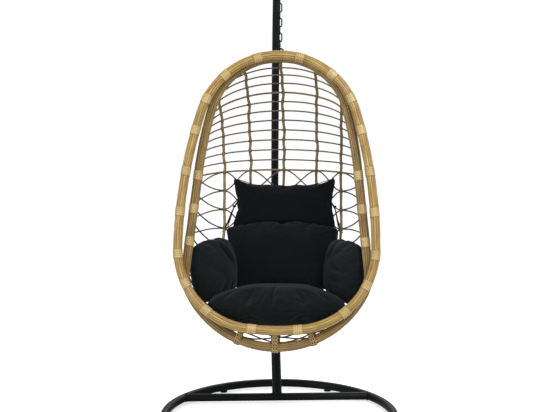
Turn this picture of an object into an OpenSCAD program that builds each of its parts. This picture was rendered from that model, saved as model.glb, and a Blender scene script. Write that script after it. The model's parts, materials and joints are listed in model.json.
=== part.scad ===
// Hanging egg chair: ring-foot steel stand, spring and chain, open wicker basket, five cushions.
// Millimetres, +Z up, the sitter faces -Y. The origin is the centre of the footprint on the floor.

/* [Stand] */
// Radius of the floor ring, to the tube's centre line
ring_r = 450; // [420:1:520]
// How far the ring's centre sits in front of the origin
ring_set = 16; // [0:1:30]
// Outside diameter of the floor ring's tube
ring_d = 34; // [30:1:42]
// Wall of the floor ring's tube
ring_wall = 2; // [1.5:0.1:3]
// How far the ring's tube seams sit in front of the ring's side points, as an angle
seam_angle = 5; // [0:1:15]
// Outside diameter of the straight crossbar
bar_d = 32; // [28:1:34]
// Distance of the crossbar behind the ring's centre
bar_back = 232; // [180:1:300]
// Thickness of the rubber glides under the ring
glide_h = 5; // [3:0.5:10]
// Diameter of the rubber glides
glide_d = 30; // [20:1:34]

/* [Pole] */
// Outside diameter of the lower pole
pole_d = 40; // [38:1:48]
// Wall of the lower pole
pole_wall = 3.8; // [2.5:0.1:3.8]
// Play all round between the upper pole and the lower pole it plugs into
pole_play = 0.2; // [0.1:0.05:0.5]
// Wall of the upper pole
upper_wall = 2.5; // [1.5:0.1:4]
// Length of the upper pole that sits inside the lower pole
plug_len = 90; // [60:1:110]
// Lean of the pole's foot away from vertical
foot_lean = 42; // [40:1:43]
// Straight length of the pole's foot
foot_straight = 150; // [130:5:170]
// Bend radius above the pole's foot
foot_bend_r = 520; // [450:5:600]
// Straight length of the joint between the poles
joint_len = 120; // [115:1:140]
// Bend radius of the upper pole's back
back_bend_r = 1900; // [1600:10:2400]
// Bend radius of the crook that carries the arm forward
crook_r = 280; // [250:1:300]
// Height of the arm's tip, to the tube's centre line
arm_h = 1905; // [1880:1:1960]

/* [Hanging gear] */
// Distance of the hang axis in front of the ring's centre
hang_set = 20; // [0:1:60]
// Wire of the eye that is welded under the arm
eye_wire_d = 8; // [6:0.5:10]
// Mean radius of the arm's eye
eye_r = 13; // [12:0.5:16]
// Wire of the upper quick link
link_wire_d = 7; // [6:0.5:7.5]
// Inside length of the upper quick link
link_in_len = 47; // [40:1:52]
// Inside width of the upper quick link
link_in_w = 15; // [14:0.5:20]
// Wire of the suspension spring
spring_wire_d = 5; // [4:0.5:6]
// Outside diameter of the suspension spring
spring_d = 38; // [34:1:44]
// Number of curls of the suspension spring
spring_curls = 12; // [8:1:16]
// Pitch of the spring's curls
spring_pitch = 7.4; // [6.2:0.1:8]
// Wire of the chain's links
chain_wire_d = 5; // [4:0.5:6]
// Inside length of a chain link
chain_in_len = 28; // [24:1:34]
// Inside width of a chain link
chain_in_w = 11; // [9:0.5:14]
// Number of chain links
chain_count = 6; // [5:1:7]
// Play where two hooked wires bear on each other
hook_play = 0.3; // [0.2:0.05:0.5]

/* [Basket rims] */
// Turn of the basket about the hang axis at rest
basket_turn = -6; // [-20:1:20]
// Lean of the rims' planes, top backwards
rim_lean = 13; // [8:0.5:16]
// Distance of the rear rim's top behind the hang axis
rear_rim_y = -2; // [-10:1:30]
// Steel core tube of the rims
rim_core_d = 16; // [14:0.5:19]
// Wall of the rims' core tube
rim_core_wall = 1.5; // [1:0.1:2.5]
// Diameter of one cane of the rims' bundles
cane_d = 9; // [8:0.5:9]
// Number of canes in a bundle
cane_count = 11; // [10:1:11]
// Play all round between the bundles where the rims lie together
rim_play = 0.4; // [0.3:0.1:1]
// Length of the binding strips along the rims
binding_len = 32; // [20:1:40]
// Thickness of the binding strips
binding_t = 1.2; // [0.8:0.1:2]
// Front rim: radius of the top bend
front_top_r = 300; // [290:1:310]
// Front rim: where the top bend ends, as a heading from level
front_top_end = 73.5; // [72:0.5:76]
// Front rim: radius of the long side bends
front_side_r = 1800; // [1700:10:1900]
// Front rim: radius of the lower corner bends
front_corner_r = 296; // [286:1:306]
// Front rim: where the lower corner bends end, as a heading
front_corner_end = 173.5; // [165:0.5:175]
// Rear rim: radius of the top bend
rear_top_r = 261; // [256:1:268]
// Rear rim: where the top bend ends, as a heading from level
rear_top_end = 75; // [73:0.5:77]
// Rear rim: radius of the upper side bends
rear_side_r = 1580; // [1500:10:1660]
// Rear rim: heading of the straight sides
rear_side_end = 84; // [83.5:0.1:84.5]
// Rear rim: length of the straight sides
rear_straight = 370; // [362:1:378]
// Rear rim: radius of the lower corner bends
rear_corner_r = 150; // [145:1:155]
// Rear rim: where the lower corner bends end, as a heading
rear_corner_end = 117; // [114:0.5:120]

/* [Basket shell] */
// Diameter of the wrapped upright ribs
rib_d = 9; // [7:0.5:12]
// Distance of the inner pair of ribs from the middle
rib_inner_x = 136; // [125:1:145]
// Distance of the outer pair of ribs from the middle
rib_outer_x = 235; // [225:1:242]
// Diameter of the two thicker cross bands
band_d = 7; // [6:0.5:9]
// Diameter of the thin cross wires
wire_d = 5; // [4:0.5:6]
// Diameter of the wavy strands
strand_d = 5; // [4:0.5:6]
// Number of rows of wavy strands
wave_rows = 11; // [8:1:11]

/* [Cushions] */
// Width of the seat cushion
seat_w = 570; // [510:5:575]
// Depth of the seat cushion
seat_dep = 345; // [320:5:350]
// Thickness of the seat cushion
seat_t = 156; // [130:1:158]
// Width of the back cushion
back_w = 470; // [410:5:475]
// Height of the back cushion
back_len = 278; // [255:1:280]
// Thickness of the back cushion
back_t = 106; // [85:1:108]
// Width of the head pillow
head_w = 414; // [350:2:416]
// Height of the head pillow
head_len = 200; // [165:1:202]
// Thickness of the head pillow
head_t = 82; // [64:1:84]
// Length of an arm cushion
arm_len = 262; // [230:2:266]
// Height of an arm cushion
arm_tall = 222; // [190:2:224]
// Thickness of an arm cushion
arm_t = 96; // [78:1:98]

/* [Hidden] */
$fn = 48;
steel = [0.12, 0.13, 0.14];
zinc = [0.6, 0.6, 0.62];
rattan = [0.76, 0.6, 0.34];
rattan_pale = [0.88, 0.77, 0.55];
charcoal = [0.13, 0.14, 0.15];
eps = 0.01;

// ---- Heights and places that follow from the sizes above ----
upper_d = pole_d - 2 * (pole_wall + pole_play);
ring_y = -ring_set;
hang_y = ring_y - hang_set;
bar_y = ring_y + bar_back;
floor_tube_z = glide_h + ring_d / 2;

// ---- Paths: a start [x, y, heading] and a list of [radius, turn] bends or [0, length] straights ----
function step(p, s) = s[0] == 0
    ? [p[0] + s[1] * cos(p[2]), p[1] + s[1] * sin(p[2]), p[2]]
    : [p[0] + s[0] * (sin(p[2] + s[1]) - sin(p[2])),
       p[1] + s[0] * (cos(p[2]) - cos(p[2] + s[1])),
       p[2] + s[1]];
function walk(p, segs, n) = n == 0 ? p : step(walk(p, segs, n - 1), segs[n - 1]);
function path_end(p, segs) = walk(p, segs, len(segs));
function seg_len(s) = s[0] == 0 ? s[1] : s[0] * s[1] * PI / 180;
function path_len(segs, i = 0) = i == len(segs) ? 0 : seg_len(segs[i]) + path_len(segs, i + 1);
function part_of(s, d) = s[0] == 0 ? [0, d] : [s[0], d / s[0] * 180 / PI];
function along(p, segs, d, i = 0) = i == len(segs) - 1 || d <= seg_len(segs[i])
    ? step(p, part_of(segs[i], d))
    : along(step(p, segs[i]), segs, d - seg_len(segs[i]), i + 1);
function radius_at(segs, d, i = 0) = i == len(segs) - 1 || d <= seg_len(segs[i])
    ? segs[i][0]
    : radius_at(segs, d - seg_len(segs[i]), i + 1);
// The arc that leaves p on its heading and ends at the point q
function arc_to(p, q) = let (a = atan2(q[1] - p[1], q[0] - p[0]) - p[2])
    let (half = a < -180 ? a + 360 : a)
    [norm([q[0] - p[0], q[1] - p[1]]) / 2 / sin(half), 2 * half];

// Sweeps a 2D profile along a path in the XY plane, with an optional gap after each bend and straight
hairline = 0.02;
section_sides = 48;
bend_facet = 7;
function bend_sides(r) = max(section_sides, round(r / bend_facet));
module sweep_path(start, segs, gap = 0) {
    for (i = [0:len(segs) - 1]) {
        p = walk(start, segs, i);
        s = segs[i];
        translate([p[0], p[1], 0]) rotate([0, 0, p[2]]) {
            if (s[0] == 0 && s[1] > gap) rotate([90, 0, 90]) linear_extrude(s[1] - gap) children();
            if (s[0] > 0) translate([0, s[0], 0]) rotate([0, 0, -90])
                rotate_extrude(angle = s[1] - gap / s[0] * 180 / PI, $fn = bend_sides(s[0]))
                translate([s[0], 0]) mirror([1, 0]) children();
        }
    }
}
module tube_section(d, wall) {
    difference() {
        circle(d = d, $fn = section_sides);
        circle(d = d - 2 * wall, $fn = section_sides);
    }
}
// Turns a path's XY plane into the upright plane through the hang axis, X to the back and Y up
module side_plane() {
    rotate([90, 0, 90]) children();
}

// ---- Stand ----
ring_seam = 180 + 2 * seam_angle;
joiner_play = 0.15;
joiner_len = 90;
screw_d = 6;
screw_play = 0.1;
screw_head_d = 11;
screw_head_h = 3.5;
screw_reach = 10;
screw_offset = 25;
pole_foot = [bar_y, floor_tube_z, 90 - foot_lean];
joint_lean = 8;
joint_heading = 90 - joint_lean;
lower_path = [[0, foot_straight], [foot_bend_r, joint_heading - pole_foot[2]], [0, joint_len]];
upper_start = along(pole_foot, lower_path, path_len(lower_path) - plug_len);
plug_end = path_end(pole_foot, lower_path);
back_heading = acos((plug_end[1] + back_bend_r * cos(joint_heading) + crook_r - arm_h)
    / (back_bend_r - crook_r));
back_bends = [[0, plug_len], [back_bend_r, back_heading - joint_heading], [crook_r, 180 - back_heading]];
arm_over = 25;
arm_straight = path_end(upper_start, back_bends)[0] - (hang_y - arm_over);
upper_path = concat(back_bends, [[0, arm_straight]]);
bolt_d = 8;
bolt_play = 0.1;
bolt_head_h = 5.3;
bolt_head_d = 14.4;
bolt_at = path_len(lower_path) - plug_len / 2;
glide_rise = ring_d / 5;
cap_t = 3;
cap_plug = 12;

module ring_tube(from, sweep, d, wall) {
    translate([0, ring_y, floor_tube_z]) rotate([0, 0, from])
        rotate_extrude(angle = sweep) translate([ring_r, 0]) tube_section(d, wall);
}
// Places its children at the four seam screws, with X along the ring's radius
module at_ring_screws() {
    for (side = [0, 1], way = [-1, 1]) {
        a = (side == 0 ? -seam_angle : 180 + seam_angle) + way * screw_offset / ring_r * 180 / PI;
        translate([0, ring_y, floor_tube_z]) rotate([0, 0, a]) children();
    }
}
module ring_screw_holes() {
    at_ring_screws() translate([ring_r - ring_d, 0, 0]) rotate([0, 90, 0])
        cylinder(d = screw_d + 2 * screw_play, h = ring_d);
}
module base_ring_rear() {
    color(steel) difference() {
        ring_tube(-seam_angle, ring_seam, ring_d, ring_wall);
        ring_screw_holes();
    }
}
module base_ring_front() {
    color(steel) difference() {
        ring_tube(180 + seam_angle, 360 - ring_seam, ring_d, ring_wall);
        ring_screw_holes();
    }
}
module base_ring_joiners() {
    sweep = joiner_len / ring_r * 180 / PI;
    color(zinc) difference() {
        for (a = [-seam_angle, 180 + seam_angle])
            ring_tube(a - sweep / 2, sweep, ring_d - 2 * (ring_wall + joiner_play), ring_wall);
        ring_screw_holes();
    }
}
module base_ring_screws() {
    color(zinc) at_ring_screws() translate([ring_r - ring_d / 2, 0, 0]) rotate([0, 90, 0]) {
        translate([0, 0, -hairline - eps]) cylinder(d = screw_d, h = screw_reach + hairline + eps);
        translate([0, 0, -screw_head_h]) cylinder(d = screw_head_d, h = screw_head_h - hairline);
    }
}
module base_crossbar() {
    half = sqrt(ring_r * ring_r - bar_back * bar_back);
    color(steel) difference() {
        translate([-half, bar_y, floor_tube_z]) rotate([0, 90, 0])
            linear_extrude(2 * half) tube_section(bar_d, ring_wall);
        translate([0, ring_y, floor_tube_z]) rotate_extrude() translate([ring_r, 0]) circle(d = ring_d);
    }
}
module floor_glides() {
    color("black") for (i = [0:5]) difference() {
        translate([0, ring_y, 0]) rotate([0, 0, 60 * i]) translate([ring_r, 0, 0])
            cylinder(d = glide_d, h = glide_h + glide_rise);
        translate([0, ring_y, floor_tube_z]) rotate_extrude() translate([ring_r, 0]) circle(d = ring_d);
    }
}
// Places its children at the bolt across the joint of the two poles, with Z along +X
module at_pole_bolt() {
    p = along(pole_foot, lower_path, bolt_at);
    translate([0, p[0], p[1]]) rotate([0, 90, 0]) children();
}
module pole_bolt_hole() {
    at_pole_bolt() translate([0, 0, -pole_d]) cylinder(d = bolt_d + 2 * bolt_play, h = 2 * pole_d);
}
module lower_pole() {
    color(steel) difference() {
        side_plane() sweep_path(pole_foot, lower_path, hairline) tube_section(pole_d, pole_wall);
        translate([-pole_d, bar_y, floor_tube_z]) rotate([0, 90, 0]) cylinder(d = bar_d, h = 2 * pole_d);
        translate([-pole_d, bar_y - pole_d, -pole_d])
            cube([2 * pole_d, 2 * pole_d, pole_d + floor_tube_z]);
        pole_bolt_hole();
    }
}
module upper_pole() {
    color(steel) difference() {
        side_plane() sweep_path(upper_start, upper_path, hairline) tube_section(upper_d, upper_wall);
        pole_bolt_hole();
    }
}
module pole_bolt() {
    color(zinc) at_pole_bolt() {
        translate([0, 0, -pole_d / 2 - bolt_head_h]) cylinder(d = bolt_head_d, h = bolt_head_h, $fn = 6);
        translate([0, 0, -pole_d / 2 - eps]) cylinder(d = bolt_d, h = pole_d + bolt_head_h + bolt_d / 2);
        translate([0, 0, pole_d / 2]) cylinder(d = bolt_head_d, h = bolt_head_h, $fn = 6);
    }
}
module arm_end_cap() {
    inner_d = upper_d - 2 * upper_wall - 2 * joiner_play;
    translate([0, hang_y - arm_over, arm_h]) rotate([90, 0, 0]) color("black") {
        cylinder(d = upper_d, h = cap_t);
        translate([0, 0, -cap_plug]) cylinder(d = inner_d, h = cap_plug);
    }
}

// ---- Hanging gear, from the arm down ----
eye_sunk = 2;
eye_z = arm_h - upper_d / 2 + eye_sunk - eye_wire_d / 2 - eye_r;
top_link_top = eye_z - eye_r + eye_wire_d / 2 + hook_play;
top_link_bottom = top_link_top - link_in_len;
link_nut_len = 16;
nut_over = 4;
spring_r = (spring_d - spring_wire_d) / 2;
spring_loop_r = 10;
spring_lead = 2;
spring_wire_sides = 6;
spring_turn = 180 * spring_curls - 90;
coil_half_h = spring_pitch * spring_turn / 360;
loop_mid_h = coil_half_h + spring_lead + spring_loop_r;
spring_z = top_link_bottom + hook_play - (spring_loop_r - spring_wire_d / 2) - loop_mid_h;
spring_bottom = spring_z - loop_mid_h - (spring_loop_r - spring_wire_d / 2);
swivel_wire_d = 6;
swivel_eye_r = 9.5;
swivel_d = 26;
swivel_h = 24;
swivel_wall = 4;
swivel_top_eye_z = spring_bottom + hook_play - (swivel_eye_r - swivel_wire_d / 2);
swivel_top = swivel_top_eye_z - swivel_eye_r;
stem_d = 10;
stem_play = 0.05;
stem_head_d = 16;
stem_head_h = 5;
stem_drop = 3;
swivel_low_eye_z = swivel_top - swivel_h - stem_drop - swivel_eye_r;
chain_top = swivel_low_eye_z - swivel_eye_r + swivel_wire_d / 2 + hook_play;
chain_step = chain_in_len - hook_play;
basket_link_in_len = 32;
basket_link_wire_d = 6;
basket_link_in_w = 14;
basket_link_nut_len = 10;
basket_link_top = chain_top - chain_count * chain_step;
basket_link_bottom = basket_link_top - basket_link_in_len;
loop_wire_d = 6.5;
loop_r = 17.5;
loop_rise = 17;
loop_z = basket_link_bottom + hook_play - (loop_r - loop_wire_d / 2);

module ring_wire(r, d) {
    rotate_extrude() translate([r, 0]) circle(d = d);
}
// An oval link in the XZ plane, its inside top at the origin
module oval_link(in_len, in_w, wire) {
    r = (in_w + wire) / 2;
    side = in_len - in_w;
    translate([0, 0, -in_w / 2]) rotate([90, 0, 0])
        sweep_path([r, 0, 90], [[r, 180], [0, side], [r, 180], [0, side]])
            circle(d = wire, $fn = section_sides);
}
// The threaded sleeve that closes a quick link, on its right side
module link_nut(in_len, in_w, wire, length) {
    translate([(in_w + wire) / 2, 0, -in_len / 2 - length / 2])
        cylinder(d = wire + nut_over, h = length, $fn = 6);
}
module at_hang(z) {
    translate([0, hang_y, z]) children();
}
module arm_eye() {
    color(steel) at_hang(eye_z) rotate([90, 0, 0]) ring_wire(eye_r, eye_wire_d);
}
module top_quick_link() {
    color(zinc) at_hang(top_link_top) rotate([0, 0, 90]) {
        oval_link(link_in_len, link_in_w, link_wire_d);
        link_nut(link_in_len, link_in_w, link_wire_d, link_nut_len);
    }
}
// Half of the spring's centre line, from its middle up through the top loop, about its own centre
function spring_half() = concat(
    [for (a = [0:45:spring_turn]) [spring_r * cos(a), spring_r * sin(a), spring_pitch * a / 360]],
    [for (a = [45:45:135]) turned([spring_r / 2 * (1 + cos(a)), spring_r / 2 * sin(a),
        coil_half_h + spring_lead * a / 180], spring_turn)],
    [for (a = [0:30:270])
        turned([0, -spring_loop_r * sin(a), loop_mid_h - spring_loop_r * cos(a)], spring_turn)],
    [turned([0, spring_loop_r, loop_mid_h - spring_wire_d], spring_turn)]);
function turned(p, a) = [p[0] * cos(a) - p[1] * sin(a), p[0] * sin(a) + p[1] * cos(a), p[2]];
function flipped(pts) = [for (i = [len(pts) - 1:-1:1]) [pts[i][0], -pts[i][1], -pts[i][2]]];
spring_line = concat(flipped(spring_half()), spring_half());
// Least gap between two stretches of the spring's wire that aren't neighbours along it
spring_gap = min([for (i = [0:len(spring_line) - 1], j = [i + 5:1:len(spring_line) - 1])
    norm(spring_line[i] - spring_line[j])]) - spring_wire_d;
echo(spring_least_gap = spring_gap);
module suspension_spring() {
    color(zinc) at_hang(spring_z) wire_tube(spring_line, spring_wire_d, spring_wire_sides);
}
module swivel_body() {
    color(zinc) difference() {
        union() {
            at_hang(swivel_top_eye_z) rotate([0, 90, 0]) ring_wire(swivel_eye_r, swivel_wire_d);
            at_hang(swivel_top - swivel_h) cylinder(d = swivel_d, h = swivel_h);
        }
        at_hang(swivel_top - swivel_h + swivel_wall)
            cylinder(d = stem_head_d + 4 * stem_play, h = swivel_h - 2 * swivel_wall);
        at_hang(swivel_top - swivel_h - eps)
            cylinder(d = stem_d + 2 * stem_play, h = swivel_wall + 2 * eps);
    }
}
module swivel_eye() {
    stem_top = swivel_top - swivel_h + swivel_wall + stem_play + stem_head_h;
    stem_bottom = swivel_low_eye_z + swivel_eye_r;
    color(zinc) {
        at_hang(swivel_low_eye_z) rotate([90, 0, 90 * (chain_count % 2)])
            ring_wire(swivel_eye_r, swivel_wire_d);
        at_hang(stem_bottom) cylinder(d = stem_d, h = stem_top - stem_bottom);
        at_hang(stem_top - stem_head_h) cylinder(d = stem_head_d, h = stem_head_h);
    }
}
module chain() {
    color(steel) for (i = [0:chain_count - 1])
        at_hang(chain_top - i * chain_step) rotate([0, 0, 90 * ((chain_count - 1 - i) % 2)])
            oval_link(chain_in_len, chain_in_w, chain_wire_d);
}
module basket_quick_link() {
    color(steel) at_hang(basket_link_top) rotate([0, 0, 90]) {
        oval_link(basket_link_in_len, basket_link_in_w, basket_link_wire_d);
        link_nut(basket_link_in_len, basket_link_in_w, basket_link_wire_d, basket_link_nut_len);
    }
}

// ---- Basket rims ----
cane_play = 0.1;
bundle_r = rim_core_d / 2 + cane_d + cane_play;
binding_play = 0.3;
rim_gap = 2 * bundle_r + binding_play + binding_t + rim_play;
rear_top_z = loop_z - loop_rise;
front_top_y = rear_rim_y - rim_gap * cos(rim_lean);
front_top_z = rear_top_z + rim_gap * sin(rim_lean);

// Half an egg outline from top to bottom: top bend, side bend, straight, corner bend, bottom bend
function egg_half(top_r, top_end, side_r, side_end, straight, corner_r, corner_end) =
    let (upper = [[top_r, top_end], [side_r, side_end - top_end], [0, straight],
        [corner_r, corner_end - side_end]])
    concat(upper, [[path_end([0, 0, 0], upper)[0] / sin(corner_end), 180 - corner_end]]);
// The whole outline, from the left end of its top bend round to it again
function egg_start(h) = [-h[0][0] * sin(h[0][1]), h[0][0] * (1 - cos(h[0][1])), -h[0][1]];
function egg_whole(h) =
    [[h[0][0], 2 * h[0][1]], h[1], h[2], h[3], [h[4][0], 2 * h[4][1]], h[3], h[2], h[1]];
front_half = egg_half(front_top_r, front_top_end, front_side_r, 90, 0, front_corner_r, front_corner_end);
rear_half = egg_half(rear_top_r, rear_top_end, rear_side_r, rear_side_end, rear_straight,
    rear_corner_r, rear_corner_end);
rear_len = path_len(rear_half);
// A point of the rear rim's centre line, at a distance from its top down its right side
function rear_point(d) = let (p = along([0, 0, 0], rear_half, d))
    [p[0], rear_rim_y - p[1] * sin(rim_lean), rear_top_z - p[1] * cos(rim_lean)];

module in_basket() {
    translate([0, hang_y, 0]) rotate([0, 0, basket_turn]) children();
}
module front_plane() {
    in_basket() translate([0, front_top_y, front_top_z]) rotate([-90 - rim_lean, 0, 0]) children();
}
module rear_plane() {
    in_basket() translate([0, rear_rim_y, rear_top_z]) rotate([-90 - rim_lean, 0, 0]) children();
}
module cane_section() {
    ring = rim_core_d / 2 + cane_play + cane_d / 2;
    difference() {
        union() {
            circle(r = ring, $fn = section_sides);
            for (i = [0:cane_count - 1]) rotate(360 * i / cane_count) translate([ring, 0])
                circle(d = cane_d, $fn = section_sides / 2);
        }
        circle(r = rim_core_d / 2 + cane_play, $fn = section_sides);
    }
}
module binding_section() {
    tube_section(2 * (bundle_r + binding_play + binding_t), binding_t);
}
// Binding strips on both sides of an egg outline, at distances from its top
module bindings(h, places) {
    for (d = places, side = [0, 1]) mirror([side, 0, 0]) {
        bend = [radius_at(h, d), 0];
        sweep_path(along([0, 0, 0], h, d - binding_len / 2), [part_of(bend, binding_len)])
            binding_section();
    }
}
front_binding_places = [80, 220, 336, 462, 620, 772, 929, 1042, 1168, 1351];
rear_binding_places = [607, 733, 855];
module basket_loop() {
    leg = loop_rise - rim_core_d / 2 - cane_play;
    color(steel) in_basket() translate([0, 0, loop_z]) rotate([90, 0, 0])
        sweep_path([loop_r, -leg, 90], [[0, leg], [loop_r, 180], [0, leg]])
            circle(d = loop_wire_d, $fn = section_sides);
}
module front_rim_core() {
    color(steel) front_plane() sweep_path(egg_start(front_half), egg_whole(front_half), hairline)
        tube_section(rim_core_d, rim_core_wall);
}
module front_rim_canes() {
    color(rattan) front_plane() sweep_path(egg_start(front_half), egg_whole(front_half), hairline)
        cane_section();
}
module front_rim_bindings() {
    color(rattan_pale) front_plane() bindings(front_half, front_binding_places);
}
module rear_rim_core() {
    color(steel) rear_plane() sweep_path(egg_start(rear_half), egg_whole(rear_half), hairline)
        tube_section(rim_core_d, rim_core_wall);
}
module rear_rim_canes() {
    color(rattan) rear_plane() sweep_path(egg_start(rear_half), egg_whole(rear_half), hairline)
        cane_section();
}
module rear_rim_bindings() {
    color(rattan_pale) rear_plane() bindings(rear_half, rear_binding_places);
}

// ---- Basket shell: numbered levels run from the basket's top down to the rear rim's bottom ----
band_levels = [5, 13];
last_level = band_levels[1] + wave_rows;
shell_start = [rear_rim_y, 0, 12];
shell_bends = [[308, 43], [581, 33], [900, 10], [750, 32], [260, 50]];
rear_bottom = rear_point(rear_len);
shell_path = concat(shell_bends,
    [arc_to(path_end(shell_start, shell_bends), [rear_bottom[1], rear_top_z - rear_bottom[2]])]);
shell_len = path_len(shell_path);
rim_end_x = 265;
rim_end = rear_len - asin(rim_end_x / rear_half[4][0]) * rear_half[4][0] * PI / 180;
rim_levels = [[0, 0], [1, 218], [band_levels[0], 398], [band_levels[1], 622], [last_level, rim_end]];
middle_levels = [[0, 0], [band_levels[0], 231], [band_levels[1], 566],
    [last_level, shell_len - bundle_r]];
// Where a level meets the rear rim, as half its width and the middle of that width
function level_half(k) = rear_point(lookup(k, rim_levels))[0];
function level_mid(k) = let (p = rear_point(lookup(k, rim_levels))) [0, p[1], p[2]];
// Where a level crosses the middle rib
function level_back(k) = let (p = along(shell_start, shell_path, lookup(k, middle_levels)))
    [0, p[0], rear_top_z - p[1]];
function level_depth(k) = norm(level_back(k) - level_mid(k));
function level_radius(k) = let (s = level_depth(k), w = level_half(k)) (w * w + s * s) / 2 / s;
function level_way(k) = (level_back(k) - level_mid(k)) / level_depth(k);
function level_centre(k) = level_mid(k) + (level_depth(k) - level_radius(k)) * level_way(k);
function level_first_angle(k) = atan2(level_radius(k) - level_depth(k), level_half(k));
// A point of a level, at an angle from +X about its centre, moved outwards by a distance
function level_point(k, a, out = 0) = level_centre(k)
    + (level_radius(k) + out) * ([cos(a), 0, 0] + sin(a) * level_way(k));
function rib_angle(k, x) = acos(x / level_radius(k));

// A round wire along a level, with both ends pressed a little into the rear rim's bundle
wire_bite = 1;
module level_ring(k, d) {
    n = level_way(k);
    from = level_first_angle(k) + (bundle_r - wire_bite) / level_radius(k) * 180 / PI;
    in_basket() translate(level_centre(k)) rotate([atan2(n[2], n[1]), 0, 0]) rotate([0, 0, from])
        rotate_extrude(angle = 180 - 2 * from) translate([level_radius(k), 0])
        circle(d = d, $fn = section_sides / 2);
}
// Tubes along a line of points, with a frame that is carried from point to point without twist
function unit(v) = v / norm(v);
function tangents(p) = [for (i = [0:len(p) - 1]) unit(p[min(i + 1, len(p) - 1)] - p[max(i - 1, 0)])];
function carried(n, t) = unit(n - (n * t) * t);
function side_of(t) = abs(t[2]) < 0.9 ? carried([0, 0, 1], t) : carried([1, 0, 0], t);
module wire_tube(line, d, sides) {
    ways = tangents(line);
    last = len(line) - 1;
    normals = [for (i = 0, n = side_of(ways[0]); i <= last;
        i = i + 1, n = carried(n, ways[min(i, last)])) n];
    points = [for (i = [0:last], j = [0:sides - 1])
        line[i] + d / 2 * (cos(360 * j / sides) * normals[i]
            + sin(360 * j / sides) * cross(ways[i], normals[i]))];
    walls = [for (i = [0:last - 1], j = [0:sides - 1], half = [0, 1])
        let (a = i * sides + j, b = i * sides + (j + 1) % sides)
        half == 0 ? [a, a + sides, b + sides] : [a, b + sides, b]];
    ends = [[for (j = [0:sides - 1]) j], [for (j = [sides - 1:-1:0]) last * sides + j]];
    polyhedron(points, concat(walls, ends), convexity = 8);
}
// Ribs run from just below the level at which they leave the rear rim down to the rim's bottom
rib_steps = 24;
rib_sides = 8;
rib_start = 0.15;
function rib_first_level(x) = let (d = asin(abs(x) / rear_top_r) * rear_top_r * PI / 180)
    lookup(d, [for (l = rim_levels) [l[1], l[0]]]);
function rib_point(k, x) = x == 0 ? level_back(k) : level_point(k, rib_angle(k, x));
function rib_line(x) = let (from = rib_first_level(x) + rib_start)
    [for (i = [0:rib_steps]) rib_point(from + (last_level - from) * i / rib_steps, x)];
module shell_ribs() {
    color(rattan) in_basket() for (x = [-rib_outer_x, -rib_inner_x, 0, rib_inner_x, rib_outer_x])
        wire_tube(rib_line(x), rib_d, rib_sides);
}
module shell_bands() {
    color(rattan_pale) for (k = band_levels) level_ring(k, band_d);
}
module shell_wires() {
    color(rattan) {
        for (k = [1:band_levels[0] - 1]) level_ring(k, wire_d);
        for (k = [band_levels[0] + 1:band_levels[1] - 1]) level_ring(k, wire_d);
    }
}
// Strands cross midway between the ribs, and again where the rear rim starts to hide them from the front
strand_swing = 0.48;
strand_root = 3;
strand_end = 0.05;
strand_sides = 5;
strand_play = 0.1;
function strand_first(k) = level_first_angle(k) + strand_root;
function strand_edge(k) = min((strand_first(k) + rib_angle(k, rib_outer_x)) / 2,
    acos((level_half(k) - bundle_r - strand_d / 2) / level_radius(k)));
// Angle of a strand at a phase: ribs are at whole phases, and both ends are pressed into the rear rim
function strand_angle(k, p) = let (a = strand_first(k), b = strand_edge(k))
    lookup(p, [[strand_end, 180 - a], [0.5, 180 - b], [1, rib_angle(k, -rib_outer_x)],
        [2, rib_angle(k, -rib_inner_x)], [3, 90], [4, rib_angle(k, rib_inner_x)],
        [5, rib_angle(k, rib_outer_x)], [5.5, b], [6 - strand_end, a]]);
strand_phases = concat([strand_end], [for (p = [0.25:0.25:5.75]) p], [6 - strand_end]);
function strand_line(row, way) = [for (p = strand_phases)
    let (k = row + 0.5 + way * strand_swing * cos(180 * p))
    level_point(k, strand_angle(k, p), way * (strand_d / 2 + strand_play) * sin(180 * p))];
module woven_strands() {
    color(rattan) in_basket() for (row = [band_levels[1]:last_level - 1], way = [-1, 1])
        wire_tube(strand_line(row, way), strand_d, strand_sides);
}

// ---- Cushions ----
// A stuffed pad with its width along X, its length along Y and its seam around z = 0
pad_steps = 14;
pad_seam = 4;
function pad_grid(i) = sin(180 * i / pad_steps - 90);
// size = width, length and thickness; corners = how round the sides and the ends are; pinch draws the
// four edges in between the corners; taper narrows the lower end; full is lower for a plumper pad
function pad_point(i, j, size, corners, pinch, taper, full, face) =
    let (u = pad_grid(i), v = pad_grid(j), swell = max(0, (1 - pow(u, 4)) * (1 - pow(v, 4))))
    let (narrow = (1 - pinch * (1 - v * v)) * (1 - taper * (1 - v) / 2))
    [size[0] / 2 * u * sqrt(1 - corners[0] * v * v / 2) * narrow,
     size[1] / 2 * v * sqrt(1 - corners[1] * u * u / 2) * (1 - pinch * (1 - u * u)),
     face * (pad_seam / 2 + (size[2] - pad_seam) / 2 * pow(swell, full))];
module pad(size, corners, pinch, taper, full) {
    n = pad_steps + 1;
    points = [for (face = [1, -1], i = [0:pad_steps], j = [0:pad_steps])
        pad_point(i, j, size, corners, pinch, taper, full, face)];
    faces_on = [for (i = [0:pad_steps - 1], j = [0:pad_steps - 1], half = [0, 1])
        let (a = i * n + j, b = a + n)
        half == 0 ? [a, a + 1, b + 1] : [a, b + 1, b]];
    other = [for (f = faces_on) [f[2] + n * n, f[1] + n * n, f[0] + n * n]];
    rim = concat([for (i = [0:pad_steps - 1]) i * n], [for (j = [0:pad_steps - 1]) pad_steps * n + j],
        [for (i = [pad_steps:-1:1]) i * n + pad_steps], [for (j = [pad_steps:-1:1]) j]);
    seam = [for (i = [0:len(rim) - 1], half = [0, 1]) let (a = rim[i], b = rim[(i + 1) % len(rim)])
        half == 0 ? [a, b, b + n * n] : [a, b + n * n, a + n * n]];
    polyhedron(points, concat(faces_on, other, seam), convexity = 6);
}
seat_at = [0, -80, 472.7];
seat_tilt = 5;
back_at = [0, 128.2, 629.6];
back_tilt = 81;
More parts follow.
